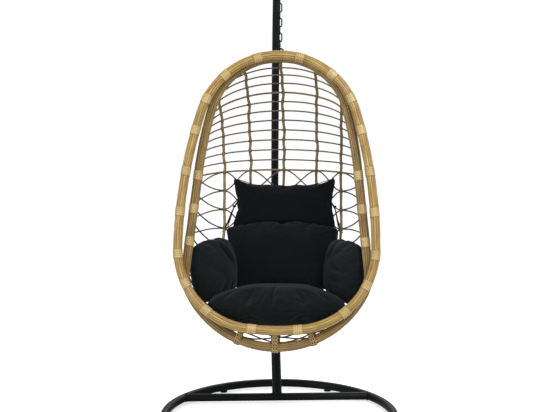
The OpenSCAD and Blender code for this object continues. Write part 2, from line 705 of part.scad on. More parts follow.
head_at = [0, 197.8, 845];
head_tilt = 86.5;
arm_at = [246.2, -50, 607.1];
arm_toe_in = 64;
arm_tilt = 84;
module seat_cushion() {
    color(charcoal) in_basket() translate(seat_at) rotate([seat_tilt, 0, 180])
        pad([seat_w, seat_dep, seat_t], [0.6, 0.6], 0, 0.4, 0.45);
}
module back_cushion() {
    color(charcoal) in_basket() translate(back_at) rotate([back_tilt, 0, 0])
        pad([back_w, back_len, back_t], [0.3, 0.9], 0, 0.3, 0.5);
}
module head_pillow() {
    color(charcoal) in_basket() translate(head_at) rotate([head_tilt, 0, 0])
        pad([head_w, head_len, head_t], [0.1, 0.1], 0.13, 0, 0.5);
}
module arm_cushion() {
    translate([-arm_at[0], arm_at[1], arm_at[2]]) rotate([0, 0, arm_toe_in]) rotate([arm_tilt, 0, 0])
        pad([arm_len, arm_tall, arm_t], [0.8, 0.8], 0, 0, 0.5);
}
module arm_cushion_left() {
    color(charcoal) in_basket() arm_cushion();
}
module arm_cushion_right() {
    color(charcoal) in_basket() mirror([1, 0, 0]) arm_cushion();
}

base_ring_rear();
base_ring_front();
base_ring_joiners();
base_ring_screws();
base_crossbar();
floor_glides();
lower_pole();
upper_pole();
pole_bolt();
arm_end_cap();
arm_eye();
top_quick_link();
suspension_spring();
swivel_body();
swivel_eye();
chain();
basket_quick_link();
basket_loop();
front_rim_core();
front_rim_canes();
front_rim_bindings();
rear_rim_core();
rear_rim_canes();
rear_rim_bindings();
shell_ribs();
shell_bands();
shell_wires();
woven_strands();
seat_cushion();
back_cushion();
head_pillow();
arm_cushion_left();
arm_cushion_right();
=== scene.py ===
"""Looks of a hanging egg chair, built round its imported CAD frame.

Sizes are millimetres in the dataclasses and metres in Blender. The basket's own frame has its origin on the
hang axis at floor level, X to the right, Y to the back and Z up; the basket rests slightly turned about it.
"""

import json
import logging
import math
from dataclasses import dataclass, field
from enum import Enum
from typing import Callable, Sequence

import bpy
import numpy as np
from mathutils import Matrix, Vector

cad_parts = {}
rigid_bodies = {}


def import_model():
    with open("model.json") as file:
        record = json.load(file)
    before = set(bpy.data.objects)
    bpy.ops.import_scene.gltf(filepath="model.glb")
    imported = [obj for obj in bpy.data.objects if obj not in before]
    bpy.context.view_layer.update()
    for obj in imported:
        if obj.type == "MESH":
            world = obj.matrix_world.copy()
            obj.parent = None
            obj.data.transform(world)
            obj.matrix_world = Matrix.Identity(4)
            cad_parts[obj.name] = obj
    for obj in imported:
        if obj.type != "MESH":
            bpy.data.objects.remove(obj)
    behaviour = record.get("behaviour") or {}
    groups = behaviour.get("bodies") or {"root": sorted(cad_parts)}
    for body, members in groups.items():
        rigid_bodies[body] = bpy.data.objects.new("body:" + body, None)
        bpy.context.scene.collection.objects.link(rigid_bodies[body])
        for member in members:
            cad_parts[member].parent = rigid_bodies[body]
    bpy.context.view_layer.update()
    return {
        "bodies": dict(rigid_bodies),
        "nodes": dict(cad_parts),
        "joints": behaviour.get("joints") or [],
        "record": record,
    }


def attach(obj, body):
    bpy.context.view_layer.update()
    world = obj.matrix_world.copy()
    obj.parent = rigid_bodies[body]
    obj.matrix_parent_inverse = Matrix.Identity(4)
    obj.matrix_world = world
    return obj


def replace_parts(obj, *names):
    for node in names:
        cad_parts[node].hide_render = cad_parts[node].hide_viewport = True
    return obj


LOG = logging.getLogger("egg_chair")
MM = 0.001
Array = np.ndarray


class Body(str, Enum):
    """CAD bodies that pieces ride on."""

    STAND = "stand"
    HANGER = "hanger"
    BASKET = "basket"


class Slot(str, Enum):
    """The record's material slots."""

    STEEL = "black_steel"
    ZINC = "zinc_hardware"
    RATTAN = "rattan"
    BINDING = "pale_binding"
    FABRIC = "charcoal_fabric"


# ---------------------------------------------------------------- finishes


class Nodes:
    """Short-hand for building one material's node tree."""

    def __init__(self, name: str) -> None:
        """Starts a material with a Principled shader that is wired to its output."""
        self.material = bpy.data.materials.new(name)
        self.material.use_nodes = True
        self.tree = self.material.node_tree
        self.shader = self.tree.nodes["Principled BSDF"]

    def add(self, kind: str, **settings: object) -> bpy.types.Node:
        """Adds a node; settings that name a property set it, and the others set an input's default."""
        node = self.tree.nodes.new(kind)
        for key, value in settings.items():
            if hasattr(node, key):
                setattr(node, key, value)
            else:
                node.inputs[key.replace("_", " ")].default_value = value
        return node

    def link(self, source: bpy.types.NodeSocket, target: bpy.types.NodeSocket) -> None:
        """Links an output to an input."""
        self.tree.links.new(source, target)

    def scaled(self, source: str, scale: Sequence[float]) -> bpy.types.NodeSocket:
        """Returns the Object or UV coordinate, scaled along each axis."""
        coordinates = self.add("ShaderNodeTexCoord")
        mapping = self.add("ShaderNodeMapping")
        mapping.inputs["Scale"].default_value = scale
        self.link(coordinates.outputs[source], mapping.inputs["Vector"])
        return mapping.outputs["Vector"]

    def noise(self, vector: bpy.types.NodeSocket, detail: float = 4.0) -> bpy.types.NodeSocket:
        """Returns a noise value read at a vector."""
        node = self.add("ShaderNodeTexNoise", Scale=1.0, Detail=detail)
        self.link(vector, node.inputs["Vector"])
        return node.outputs["Fac"]

    def ramp(self, value: bpy.types.NodeSocket, stops: Sequence[tuple]) -> bpy.types.NodeSocket:
        """Returns a colour read off a ramp of (position, colour) stops."""
        node = self.add("ShaderNodeValToRGB")
        while len(node.color_ramp.elements) < len(stops):
            node.color_ramp.elements.new(0.5)
        for element, (position, colour) in zip(node.color_ramp.elements, stops):
            element.position = position
            element.color = (*colour, 1.0)
        self.link(value, node.inputs["Fac"])
        return node.outputs["Color"]

    def mix(self, factor: object, a: object, b: object, blend: str = "MIX") -> bpy.types.NodeSocket:
        """Returns two colours mixed; each argument is a socket or a plain value."""
        node = self.add("ShaderNodeMix", data_type="RGBA", blend_type=blend)
        for socket, value in ((node.inputs[0], factor), (node.inputs[6], a), (node.inputs[7], b)):
            if isinstance(value, bpy.types.NodeSocket):
                self.link(value, socket)
            else:
                socket.default_value = value if isinstance(value, float) else (*value, 1.0)
        return node.outputs[2]

    def bump(self, height: bpy.types.NodeSocket, strength: float, distance: float,
             below: bpy.types.NodeSocket | None = None) -> bpy.types.NodeSocket:
        """Returns a normal bumped by a height, on top of another bumped normal if one is given."""
        node = self.add("ShaderNodeBump", Strength=strength, Distance=distance)
        self.link(height, node.inputs["Height"])
        if below is not None:
            self.link(below, node.inputs["Normal"])
        return node.outputs["Normal"]


@dataclass(frozen=True)
class CaneFinish:
    """Lacquered cane with streaks along it; its pieces carry UVs in metres and a tone attribute, which holds
    each strand's own tone and painted shade.
    """

    name: str
    dark: tuple
    middle: tuple
    light: tuple
    roughness: float = 0.42
    wrap_pitch: float = 0.0

    def build(self) -> bpy.types.Material:
        """Makes the material: streaks, blotches, the tone attribute's darkening (each strand's own tone and
        painted shade), and the ridges of a wrapped strip with painted shade in their grooves.
        """
        n = Nodes(self.name)
        streaks = n.noise(n.scaled("UV", (16.0, 420.0, 1.0)), 5.0)
        colour = n.ramp(streaks, [(0.2, self.dark), (0.42, self.middle), (0.62, self.light)])
        blotches = n.noise(n.scaled("Object", (22.0, 22.0, 22.0)), 3.0)
        worn = n.ramp(blotches, [(0.36, (0.8, 0.74, 0.64)), (0.6, (1.0, 1.0, 1.0))])
        colour = n.mix(0.6, colour, worn, "MULTIPLY")
        # the tone attribute darkens towards the dark stop: partly each strand's own tone, partly painted
        # shade in grooves, binding gaps and under the lashings
        tone = n.add("ShaderNodeAttribute", attribute_name="tone")
        colour = n.mix(tone.outputs["Fac"], colour, n.mix(0.9, colour, self.dark))
        normal = n.bump(streaks, 0.25, 0.0005)
        if self.wrap_pitch:
            wave = n.add("ShaderNodeTexWave", wave_type="BANDS", bands_direction="X", Distortion=1.2,
                         Detail=2.0)
            wave.inputs["Scale"].default_value = 0.314 / self.wrap_pitch / MM
            n.link(n.scaled("UV", (1.0, 0.12, 1.0)), wave.inputs["Vector"])
            normal = n.bump(wave.outputs["Fac"], 0.6, 0.0012, normal)
            # painted shade: the grooves between the strip's turns are darkened towards the dark stop
            grooves = n.ramp(wave.outputs["Fac"], [(0.04, (0.7,) * 3), (0.22, (0.0,) * 3)])
            colour = n.mix(grooves, colour, self.dark)
        n.link(colour, n.shader.inputs["Base Color"])
        n.link(normal, n.shader.inputs["Normal"])
        n.shader.inputs["Roughness"].default_value = self.roughness
        n.shader.inputs["Coat Weight"].default_value = 0.15
        n.shader.inputs["Coat Roughness"].default_value = 0.3
        return n.material


@dataclass(frozen=True)
class PaintFinish:
    """Powder coat on steel: a fine orange peel, slightly uneven sheen and broad patches of dust."""

    name: str
    colour: tuple
    roughness: float
    grain: float = 900.0
    peel: float = 0.12

    def build(self) -> bpy.types.Material:
        """Makes the material."""
        n = Nodes(self.name)
        fine = n.noise(n.scaled("Object", (self.grain,) * 3), 3.0)
        broad = n.noise(n.scaled("Object", (9.0, 9.0, 14.0)), 4.0)
        lighter = tuple(c * 1.5 + 0.001 for c in self.colour)
        n.link(n.ramp(broad, [(0.35, self.colour), (0.75, lighter)]), n.shader.inputs["Base Color"])
        n.link(n.ramp(broad, [(0.3, (self.roughness - 0.06,) * 3), (0.7, (self.roughness + 0.08,) * 3)]),
               n.shader.inputs["Roughness"])
        n.link(n.bump(fine, self.peel, 0.0003), n.shader.inputs["Normal"])
        n.shader.inputs["Specular IOR Level"].default_value = 0.16
        return n.material


@dataclass(frozen=True)
class MetalFinish:
    """Zinc plate with faint spangle and rubbed wear."""

    name: str
    colour: tuple
    roughness: float = 0.32

    def build(self) -> bpy.types.Material:
        """Makes the material."""
        n = Nodes(self.name)
        spangle = n.noise(n.scaled("Object", (160.0, 160.0, 160.0)), 5.0)
        dull = tuple(c * 0.72 for c in self.colour)
        n.link(n.ramp(spangle, [(0.35, dull), (0.65, self.colour)]), n.shader.inputs["Base Color"])
        n.link(n.ramp(spangle, [(0.3, (self.roughness - 0.08,) * 3), (0.7, (self.roughness + 0.12,) * 3)]),
               n.shader.inputs["Roughness"])
        n.link(n.bump(spangle, 0.1, 0.0002), n.shader.inputs["Normal"])
        n.shader.inputs["Metallic"].default_value = 1.0
        return n.material


@dataclass(frozen=True)
class FabricFinish:
    """Plain-woven outdoor cloth: two crossing sets of threads, a soft sheen, slight fading, and painted light
    and shade for each piece from its tone attribute.
    """

    name: str
    colour: tuple
    thread: float = 1.1

    def build(self) -> bpy.types.Material:
        """Makes the material from the piece's UVs in metres."""
        n = Nodes(self.name)
        vector = n.scaled("UV", (1.0, 1.0, 1.0))
        waves = []
        for direction in ("X", "Y"):
            wave = n.add("ShaderNodeTexWave", wave_type="BANDS", bands_direction=direction, Distortion=0.6)
            wave.inputs["Scale"].default_value = 0.314 / self.thread / MM
            n.link(vector, wave.inputs["Vector"])
            waves.append(wave.outputs["Fac"])
        weave = n.mix(0.5, waves[0], waves[1])
        fading = n.noise(n.scaled("Object", (14.0, 14.0, 14.0)), 5.0)
        # the darker copy is painted shade; the paler copy serves the fading patches and also as the
        # painted-light copy
        deep, worn_and_lit = (tuple(c * share for c in self.colour) for share in (0.75, 2.2))
        colour = n.mix(n.ramp(fading, [(0.35, (0.0,) * 3), (0.7, (0.4,) * 3)]), self.colour, worn_and_lit)
        # painted light and shade: the tone attribute mixes from the shaded copy at 0 to the lit copy at 1;
        # pieces with tone 0, such as the ties and sewn edges, take the shaded copy
        tone = n.add("ShaderNodeAttribute", attribute_name="tone")
        colour = n.mix(tone.outputs["Fac"], n.mix(0.7, colour, deep), n.mix(0.55, colour, worn_and_lit))
        mottle = n.noise(n.scaled("Object", (190.0,) * 3), 3.0)
        colour = n.mix(1.0, colour, n.ramp(mottle, [(0.36, (0.62,) * 3), (0.62, (1.0,) * 3)]), "MULTIPLY")
        colour = n.mix(0.35, colour, weave, "MULTIPLY")
        slub = n.noise(n.scaled("UV", (220.0, 1400.0, 1.0)), 4.0)
        n.link(colour, n.shader.inputs["Base Color"])
        n.link(n.bump(slub, 0.25, 0.0004, n.bump(weave, 0.5, 0.0005)), n.shader.inputs["Normal"])
        n.shader.inputs["Roughness"].default_value = 0.95
        n.shader.inputs["Sheen Weight"].default_value = 0.07
        n.shader.inputs["Sheen Roughness"].default_value = 0.5
        n.shader.inputs["Specular IOR Level"].default_value = 0.1
        return n.material


# ---------------------------------------------------------------- surfaces


def unit(v: Array) -> Array:
    """Returns vectors scaled to length one."""
    return v / np.linalg.norm(v, axis=-1, keepdims=True)


def ripple(t: Array, seed: int, waves: Sequence[float], size: float) -> Array:
    """Returns a smooth, repeatable waver along t: a sum of sines with phases drawn from a seed."""
    rng = np.random.default_rng(seed)
    total = np.zeros_like(t, dtype=float)
    for count in waves:
        total += np.sin(2 * np.pi * (count * t + rng.random())) * (0.6 + 0.4 * rng.random())
    return size * total / max(1, len(waves))


@dataclass
class Surface:
    """Collects tubes and grids and turns them into one mesh object."""

    name: str
    verts: list = field(default_factory=list)
    quads: list = field(default_factory=list)
    caps: list = field(default_factory=list)
    uvs: list = field(default_factory=list)
    tones: list = field(default_factory=list)
    count: int = 0

    def grid(self, points: Array, closed: bool, tone: float | Callable[[Array], Array]) -> None:
        """Adds a grid of points, whose columns go round, as quads; UVs are metres measured along the grid.

        Args:
            points: rows x columns x 3 positions in metres.
            closed: joins the last row to the first; otherwise a polygon closes each end.
            tone: a darkening from 0 to 1, the strand's own tone together with painted shade, or a function
                from the points to their tones.
        """
        rows, columns = points.shape[:2]
        i, j = np.meshgrid(np.arange(rows if closed else rows - 1), np.arange(columns), indexing="ij")
        i2, j2 = (i + 1) % rows, (j + 1) % columns
        quad = np.stack([i * columns + j, i * columns + j2, i2 * columns + j2, i2 * columns + j], -1)
        step = np.linalg.norm(np.diff(points[:, 0], axis=0, append=points[:1, 0]), axis=-1)
        along = np.concatenate([[0.0], np.cumsum(step)])
        girth = np.linalg.norm(np.diff(points[rows // 2], axis=0, append=points[rows // 2, :1]), axis=-1)
        around = np.concatenate([[0.0], np.cumsum(girth)])
        uv = np.stack(np.meshgrid(along, around, indexing="ij"), -1)
        corner = np.stack([uv[i, j], uv[i, j + 1], uv[i + 1, j + 1], uv[i + 1, j]], -2)
        self.quads.append(quad.reshape(-1, 4) + self.count)
        self.uvs.append(corner.reshape(-1, 2))
        if not closed:
            ring = np.arange(columns)
            for loop, row in ((ring[::-1], 0), (ring + (rows - 1) * columns, rows - 1)):
                self.caps.append((loop + self.count, np.zeros((columns, 2)) + uv[row, 0]))
        self.verts.append(points.reshape(-1, 3))
        self.tones.append(tone(points).reshape(-1) if callable(tone) else np.full(rows * columns, tone))
        self.count += rows * columns

    def tube(self, line: Array, normal: Array, radius: Array | float, sides: int = 10,
             closed: bool = False, tone: float | Callable[[Array], Array] = 0.0) -> None:
        """Adds a tube round a line of points: at each point a circle in the plane square to the line.

        Args:
            line: points in metres.
            normal: one vector, or one for each point, that isn't along the line.
            radius: one radius, or rows x columns of them, in metres.
            sides: points round the tube.
            closed: joins the tube's ends.
            tone: a darkening from 0 to 1, the strand's own tone together with painted shade, or a function
                from the points to their tones.
        """
        if closed:
            way = np.roll(line, -1, 0) - np.roll(line, 1, 0)
        else:
            way = np.gradient(line, axis=0)
        way = unit(way)
        side = unit(np.cross(way, np.broadcast_to(normal, line.shape)))
        up = np.cross(side, way)
        a = np.linspace(0, 2 * np.pi, sides, endpoint=False)
        spokes = np.cos(a)[None, :, None] * up[:, None] + np.sin(a)[None, :, None] * side[:, None]
        spokes = spokes[:, ::-1] if np.dot(np.cross(up[0], side[0]), way[0]) < 0 else spokes
        size = np.asarray(radius, float)
        size = size[:, None] if size.ndim == 1 else np.broadcast_to(size, (len(line), sides))
        self.grid(line[:, None] + spokes * size[..., None], closed, tone)

    def make(self, material: bpy.types.Material, body: Body) -> bpy.types.Object:
        """Builds the object, paints it and lets it ride on a body."""
        verts = np.concatenate(self.verts)
        quads = np.concatenate(self.quads)
        loops = np.concatenate([quads.reshape(-1), *[c[0] for c in self.caps]]).astype(np.int32)
        totals = np.concatenate([np.full(len(quads), 4), np.array([len(c[0]) for c in self.caps], int)])
        starts = np.concatenate([[0], np.cumsum(totals)[:-1]])
        mesh = bpy.data.meshes.new(self.name)
        mesh.vertices.add(len(verts))
        mesh.vertices.foreach_set("co", verts.astype(np.float32).reshape(-1))
        mesh.loops.add(len(loops))
        mesh.loops.foreach_set("vertex_index", loops)
        mesh.polygons.add(len(totals))
        mesh.polygons.foreach_set("loop_start", starts.astype(np.int32))
        mesh.polygons.foreach_set("loop_total", totals.astype(np.int32))
        mesh.update(calc_edges=True)
        mesh.polygons.foreach_set("use_smooth", np.ones(len(totals), bool))
        layer = mesh.uv_layers.new(name="UVMap")
        uv = np.concatenate([*self.uvs, *[c[1] for c in self.caps]])
        layer.data.foreach_set("uv", uv.astype(np.float32).reshape(-1))
        # the tone attribute: each strand's own tone together with painted shade
        tone = mesh.attributes.new("tone", "FLOAT", "POINT")
        tone.data.foreach_set("value", np.concatenate(self.tones).astype(np.float32))
        mesh.materials.append(material)
        obj = bpy.data.objects.new(self.name, mesh)
        bpy.context.scene.collection.objects.link(obj)
        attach(obj, body.value)
        LOG.info("piece %s: %d faces on %s", self.name, len(totals), body.value)
        return obj


# ---------------------------------------------------------------- paths of bends


@dataclass(frozen=True)
class Path:
    """A flat path of (radius, turn in degrees) bends and (0, length) straights, from (x, y, heading)."""

    start: tuple
    bends: tuple

    def lengths(self) -> Array:
        """Returns the length of each bend or straight."""
        return np.array([b[1] if b[0] == 0 else b[0] * math.radians(b[1]) for b in self.bends])

    def length(self) -> float:
        """Returns the whole length."""
        return float(self.lengths().sum())

    def at(self, distance: Array) -> Array:
        """Returns x, y and heading at distances along the path."""
        distance = np.atleast_1d(np.asarray(distance, float))
        out = np.zeros((len(distance), 3))
        x, y, heading = self.start
        begin = 0.0
        last = len(self.bends) - 1
        for i, ((radius, turn), length) in enumerate(zip(self.bends, self.lengths())):
            here = (distance >= begin) & ((distance < begin + length) if i < last else True)
            d = distance[here] - begin
            part = d if radius == 0 else np.degrees(d / radius)
            out[here] = np.stack(self._step(x, y, heading, radius, part), -1)
            x, y, heading = self._step(x, y, heading, radius, turn)
            begin += length
        return out

    @staticmethod
    def _step(x: float, y: float, heading: float, radius: float, turn: Array | float) -> tuple:
        """Returns where a bend or straight leads."""
        h = math.radians(heading)
        if radius == 0:
            return x + turn * math.cos(h), y + turn * math.sin(h), heading + 0 * turn
        g = np.radians(heading + turn)
        return x + radius * (np.sin(g) - math.sin(h)), y + radius * (math.cos(h) - np.cos(g)), heading + turn


@dataclass(frozen=True)
class EggRim:
    """One egg-shaped rim in its leaning plane; distances run from its top down the right side and round."""

    top_y: float
    top_z: float
    bends: tuple
    corner_end: float
    lean: float = 13.0

    def half(self) -> Path:
        """Returns the right half: the given bends and the bottom bend that closes them."""
        upper = Path((0.0, 0.0, 0.0), self.bends)
        width = upper.at(upper.length())[0][0]
        return Path((0.0, 0.0, 0.0), (*self.bends, (width / math.sin(math.radians(self.corner_end)),
                                                    180 - self.corner_end)))

    def normal(self) -> Array:
        """Returns the rim plane's normal, pointing backwards."""
        lean = math.radians(self.lean)
        return np.array([0.0, math.cos(lean), -math.sin(lean)])

    def lift(self, flat: Array) -> Array:
        """Turns in-plane (right, down) points into basket points in millimetres."""
        lean = math.radians(self.lean)
        return np.stack([flat[:, 0], self.top_y - flat[:, 1] * math.sin(lean),
                         self.top_z - flat[:, 1] * math.cos(lean)], -1)

    def at(self, distance: Array) -> Array:
        """Returns basket points at distances round the whole rim."""
        half = self.half()
        total = half.length()
        d = np.mod(np.atleast_1d(distance), 2 * total)
        flat = half.at(np.where(d > total, 2 * total - d, d))[:, :2]
        flat[:, 0] *= np.where(d > total, -1.0, 1.0)
        return self.lift(flat)

    def girth(self) -> float:
        """Returns the length of the whole rim."""
        return 2 * self.half().length()


@dataclass(frozen=True)
class BasketShape:
    """The basket's rims and shell: the same sizes and formulas as the CAD source."""

    hang_y: float = -36.0
    turn: float = -6.0
    front: EggRim = EggRim(-37.175, 1415.07, ((300.0, 73.5), (1800.0, 16.5), (296.0, 83.5)), 173.5)
    rear: EggRim = EggRim(-2.0, 1406.95, ((261.0, 75.0), (1580.0, 9.0), (0.0, 370.0), (150.0, 33.0)), 117.0)
    bundle_r: float = 17.1
    back_bends: tuple = ((308.0, 43.0), (581.0, 33.0), (900.0, 10.0), (750.0, 32.0), (260.0, 50.0))
    last: int = 24
    rim_end_x: float = 265.0
    rim_levels: tuple = ((0, 0), (1, 218), (5, 398), (13, 622))
    back_levels: tuple = ((0, 0), (5, 231), (13, 566))
    rib_steps: int = 300

    def world(self, points: Array) -> Array:
        """Turns basket points in millimetres into scene points in metres."""
        a = math.radians(self.turn)
        x, y, z = np.moveaxis(np.asarray(points, float), -1, 0)
        across, back = x * math.cos(a) - y * math.sin(a), x * math.sin(a) + y * math.cos(a) + self.hang_y
        return np.stack([across, back, z], -1) * MM

    def world_way(self, vectors: Array) -> Array:
        """Turns basket directions into scene directions."""
        a = math.radians(self.turn)
        x, y, z = np.moveaxis(np.asarray(vectors, float), -1, 0)
        return np.stack([x * math.cos(a) - y * math.sin(a), x * math.sin(a) + y * math.cos(a), z], -1)

    def back_path(self) -> Path:
        """Returns the middle rib's path as (back, down) from the rear rim's top to its bottom."""
        start = (self.rear.top_y, 0.0, 12.0)
        upper = Path(start, self.back_bends)
        x, y, heading = upper.at(upper.length())[0]
        bottom = self.rear.at(self.rear.girth() / 2)[0]
        dx, dy = bottom[1] - x, self.rear.top_z - bottom[2] - y
        half = math.degrees(math.atan2(dy, dx)) - heading
        half = half + 360 if half < -180 else half
        radius = math.hypot(dx, dy) / 2 / math.sin(math.radians(half))
        return Path(start, (*self.back_bends, (radius, 2 * half)))

    def level(self, k: Array) -> dict:
        """Returns each level's arc: centre, radius, way to the back, angle at the rim and half width."""
        k = np.asarray(k, float)
        half = self.rear.half()
        r4 = half.bends[-1][0]
        rim_end = half.length() - math.asin(self.rim_end_x / r4) * r4
        path = self.back_path()
        marks, places = zip(*self.rim_levels, (self.last, rim_end))
        rim = self.rear.lift(half.at(np.interp(k.ravel(), marks, places))[:, :2])
        marks, places = zip(*self.back_levels, (self.last, path.length() - self.bundle_r))
        back = path.at(np.interp(k.ravel(), marks, places))
        middle = rim * [0.0, 1.0, 1.0]
        far = np.stack([0 * back[:, 0], back[:, 0], self.rear.top_z - back[:, 1]], -1)
        depth = np.maximum(np.linalg.norm(far - middle, axis=-1), 1e-6)
        width = rim[:, 0]
        radius = (width ** 2 + depth ** 2) / 2 / depth
        way = (far - middle) / depth[:, None]
        return {"centre": middle + (depth - radius)[:, None] * way, "radius": radius, "way": way,
                "first": np.arctan2(radius - depth, width), "half": width}

    def shell(self, k: Array, angle: Array, out: Array | float = 0.0) -> tuple[Array, Array]:
        """Returns basket points and outward normals at levels and angles, moved out by some millimetres."""
        level = self.level(k)
        spoke = np.stack([np.cos(angle), 0 * angle, 0 * angle], -1) + np.sin(angle)[:, None] * level["way"]
        return level["centre"] + (level["radius"] + out)[:, None] * spoke, spoke

    def rib_angle(self, k: Array, x: float) -> Array:
        """Returns the angle at which levels cross the rib at x."""
        return np.arccos(np.clip(x / self.level(k)["radius"], -1, 1))

    def past_wall(self, points: Array, clear: float) -> Array:
        """Returns how far scene points lie behind a wall that stands some millimetres inside the shell."""
        a = math.radians(self.turn)
        x, y, z = np.asarray(points, float).T / MM
        y = y - self.hang_y
        x, y = x * math.cos(a) + y * math.sin(a), y * math.cos(a) - x * math.sin(a)
        low, high = np.full(len(x), 5.0), np.full(len(x), self.last - 0.5)
        for _ in range(14):
            k = (low + high) / 2
            wall, out = self.shell(k, self.rib_angle(k, x))
            low, high = np.where(wall[:, 2] > z, k, low), np.where(wall[:, 2] > z, high, k)
        return np.maximum(0.0, y - wall[:, 1] + clear / np.maximum(out[:, 1], 0.5)) * MM

    def rib(self, x: float) -> tuple[Array, Array, Array]:
        """Returns a rib's levels, basket points and outward normals, from the rear rim's top down."""
        top_r = self.rear.bends[0][0]
        marks, places = zip(*self.rim_levels)
        first = float(np.interp(math.asin(abs(x) / top_r) * top_r, places, marks)) + 0.15
        k = np.linspace(first, self.last, self.rib_steps)
        return (k, *self.shell(k, self.rib_angle(k, x)))

    def lay(self, surface: Surface, line: Array, normal: Array, radius: Array | float, sides: int,
            closed: bool = False, tone: float | Callable[[Array], Array] = 0.0) -> None:
        """Adds a tube along basket points to a surface; its line and radius are in millimetres."""
        surface.tube(self.world(line), self.world_way(normal), radius * MM, sides, closed, tone)


# ---------------------------------------------------------------- the basket


@dataclass
class Rims:
    """The two rims: bundles of canes laid round a steel core, tied with pale binding strips."""

    shape: BasketShape
    cane_d: float = 9.0
    cane_ring: float = 12.6
    cane_count: int = 11
    binding_len: float = 38.0
    turns: int = 5
    front_places: tuple = (80.0, 220.0, 336.0, 462.0, 620.0, 772.0, 929.0, 1042.0, 1168.0, 1351.0)
    rear_places: tuple = (607.0, 733.0, 855.0)

    def _groove_shade(self, middle: Array, tone: float, depth: float) -> Callable[[Array], Array]:
        """Returns a function that gives a cane its tone, darkened as painted shade where it sinks into the
        grooves between its neighbours.
        """
        crest = (self.cane_ring + self.cane_d / 2) * MM

        def shade(points: Array) -> Array:
            """Returns the tone of points round the bundle's middle line, with painted shade in the grooves.
            """
            sunk = crest - np.linalg.norm(points - middle[:, None], axis=-1)
            return tone + np.clip((sunk / MM - 0.8) / 1.3, 0.0, 1.0) * (depth - tone)

        return shade

    def canes(self, rim: EggRim, name: str, node: str, cane: bpy.types.Material) -> bpy.types.Object:
        """Builds one rim's loose canes, which wander a little round the bundle, differ in tone and carry
        painted shade where they meet.

        Args:
            rim: the rim that the bundle follows.
            name: the piece's name.
            node: the CAD node that it stands for.
            cane: the finish.

        Returns:
            The piece.
        """
        surface = Surface(name)
        count = 420
        t = np.linspace(0, 1, count, endpoint=False)
        middle = rim.at(t * rim.girth())
        placed = self.shape.world(middle)
        normal = rim.normal()
        way = unit(np.roll(middle, -1, 0) - np.roll(middle, 1, 0))
        across = np.cross(way, normal)
        rng = np.random.default_rng(len(name))
        for i in range(self.cane_count):
            a = 2 * np.pi * i / self.cane_count + ripple(t, 10 + i, (3, 7, 13), 0.09)
            ring = self.cane_ring + ripple(t, 50 + i, (9, 17, 31), 0.3)
            line = middle + (ring * np.cos(a))[:, None] * across + (ring * np.sin(a))[:, None] * normal
            size = self.cane_d / 2 + ripple(t, 90 + i, (21, 37), 0.12)
            # a random tone for each cane, and how dark the painted shade in its grooves gets
            tone, depth = (rng.random(2) * 0.4 + [0.0, 0.6]).tolist()
            self.shape.lay(surface, line, normal, size, 14, True, self._groove_shade(placed, tone, depth))
        piece = surface.make(cane, Body.BASKET)
        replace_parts(piece, node)
        return piece

    def bindings(self, rim: EggRim, name: str, node: str, places: Sequence[float],
                 strip: bpy.types.Material) -> bpy.types.Object:
        """Builds the bindings: a flat strip wound five times round the bundle and drawn tight at both ends,
        with painted shade between its turns and a painted shadow line at each end.

        Args:
            rim: the rim that carries them.
            name: the piece's name.
            node: the CAD node that it stands for.
            places: distances of their middles from the rim's top, on both sides.
            strip: the finish.

        Returns:
            The piece.
        """
        surface = Surface(name)
        rows, sides = 61, 44
        u = np.linspace(-1, 1, rows)
        a = np.linspace(0, 2 * np.pi, sides, endpoint=False)
        for place in places:
            for side in (1.0, -1.0):
                middle = rim.at(place + u * self.binding_len / 2) * [side, 1, 1]
                skew = (u[:, None] + 1) * self.turns / 2 + a[None, :] / 2 / np.pi
                wave = np.abs(np.sin(np.pi * skew))
                lobes = 0.2 * np.cos(self.cane_count * (a[None, :] - np.pi / 2))
                # the strip's ends, sunk into the canes and toned dark as a painted shadow line
                edge = np.abs(u) > 0.9
                radius = self.shape.bundle_r + 0.6 + 0.5 * wave ** 0.45 + lobes - 0.9 * edge[:, None]
                # a random tone for each binding, painted shade in the gaps between turns, and the painted
                # shadow line at the ends
                tones = np.clip(0.2 * abs(math.sin(place)) + 0.6 * (wave < 0.35) + 0.9 * edge[:, None], 0, 1)
                self.shape.lay(surface, middle, rim.normal(), radius, sides, False,
                               lambda points, tones=tones: tones)
        piece = surface.make(strip, Body.BASKET)
        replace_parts(piece, node)
        return piece

    def build(self, palette: "Palette") -> None:
        """Builds both rims' canes and bindings."""
        shape, strip = self.shape, palette.strip
        self.canes(shape.front, "front_rim_cane_bundle", "front_rim_canes", palette.cane)
        # the rear rim takes a darker copy of the honey cane: painted shade
        self.canes(shape.rear, "rear_rim_cane_bundle", "rear_rim_canes", palette.rear_cane)
        self.bindings(shape.front, "front_rim_binding_strips", "front_rim_bindings", self.front_places, strip)
        self.bindings(shape.rear, "rear_rim_binding_strips", "rear_rim_bindings", self.rear_places, strip)


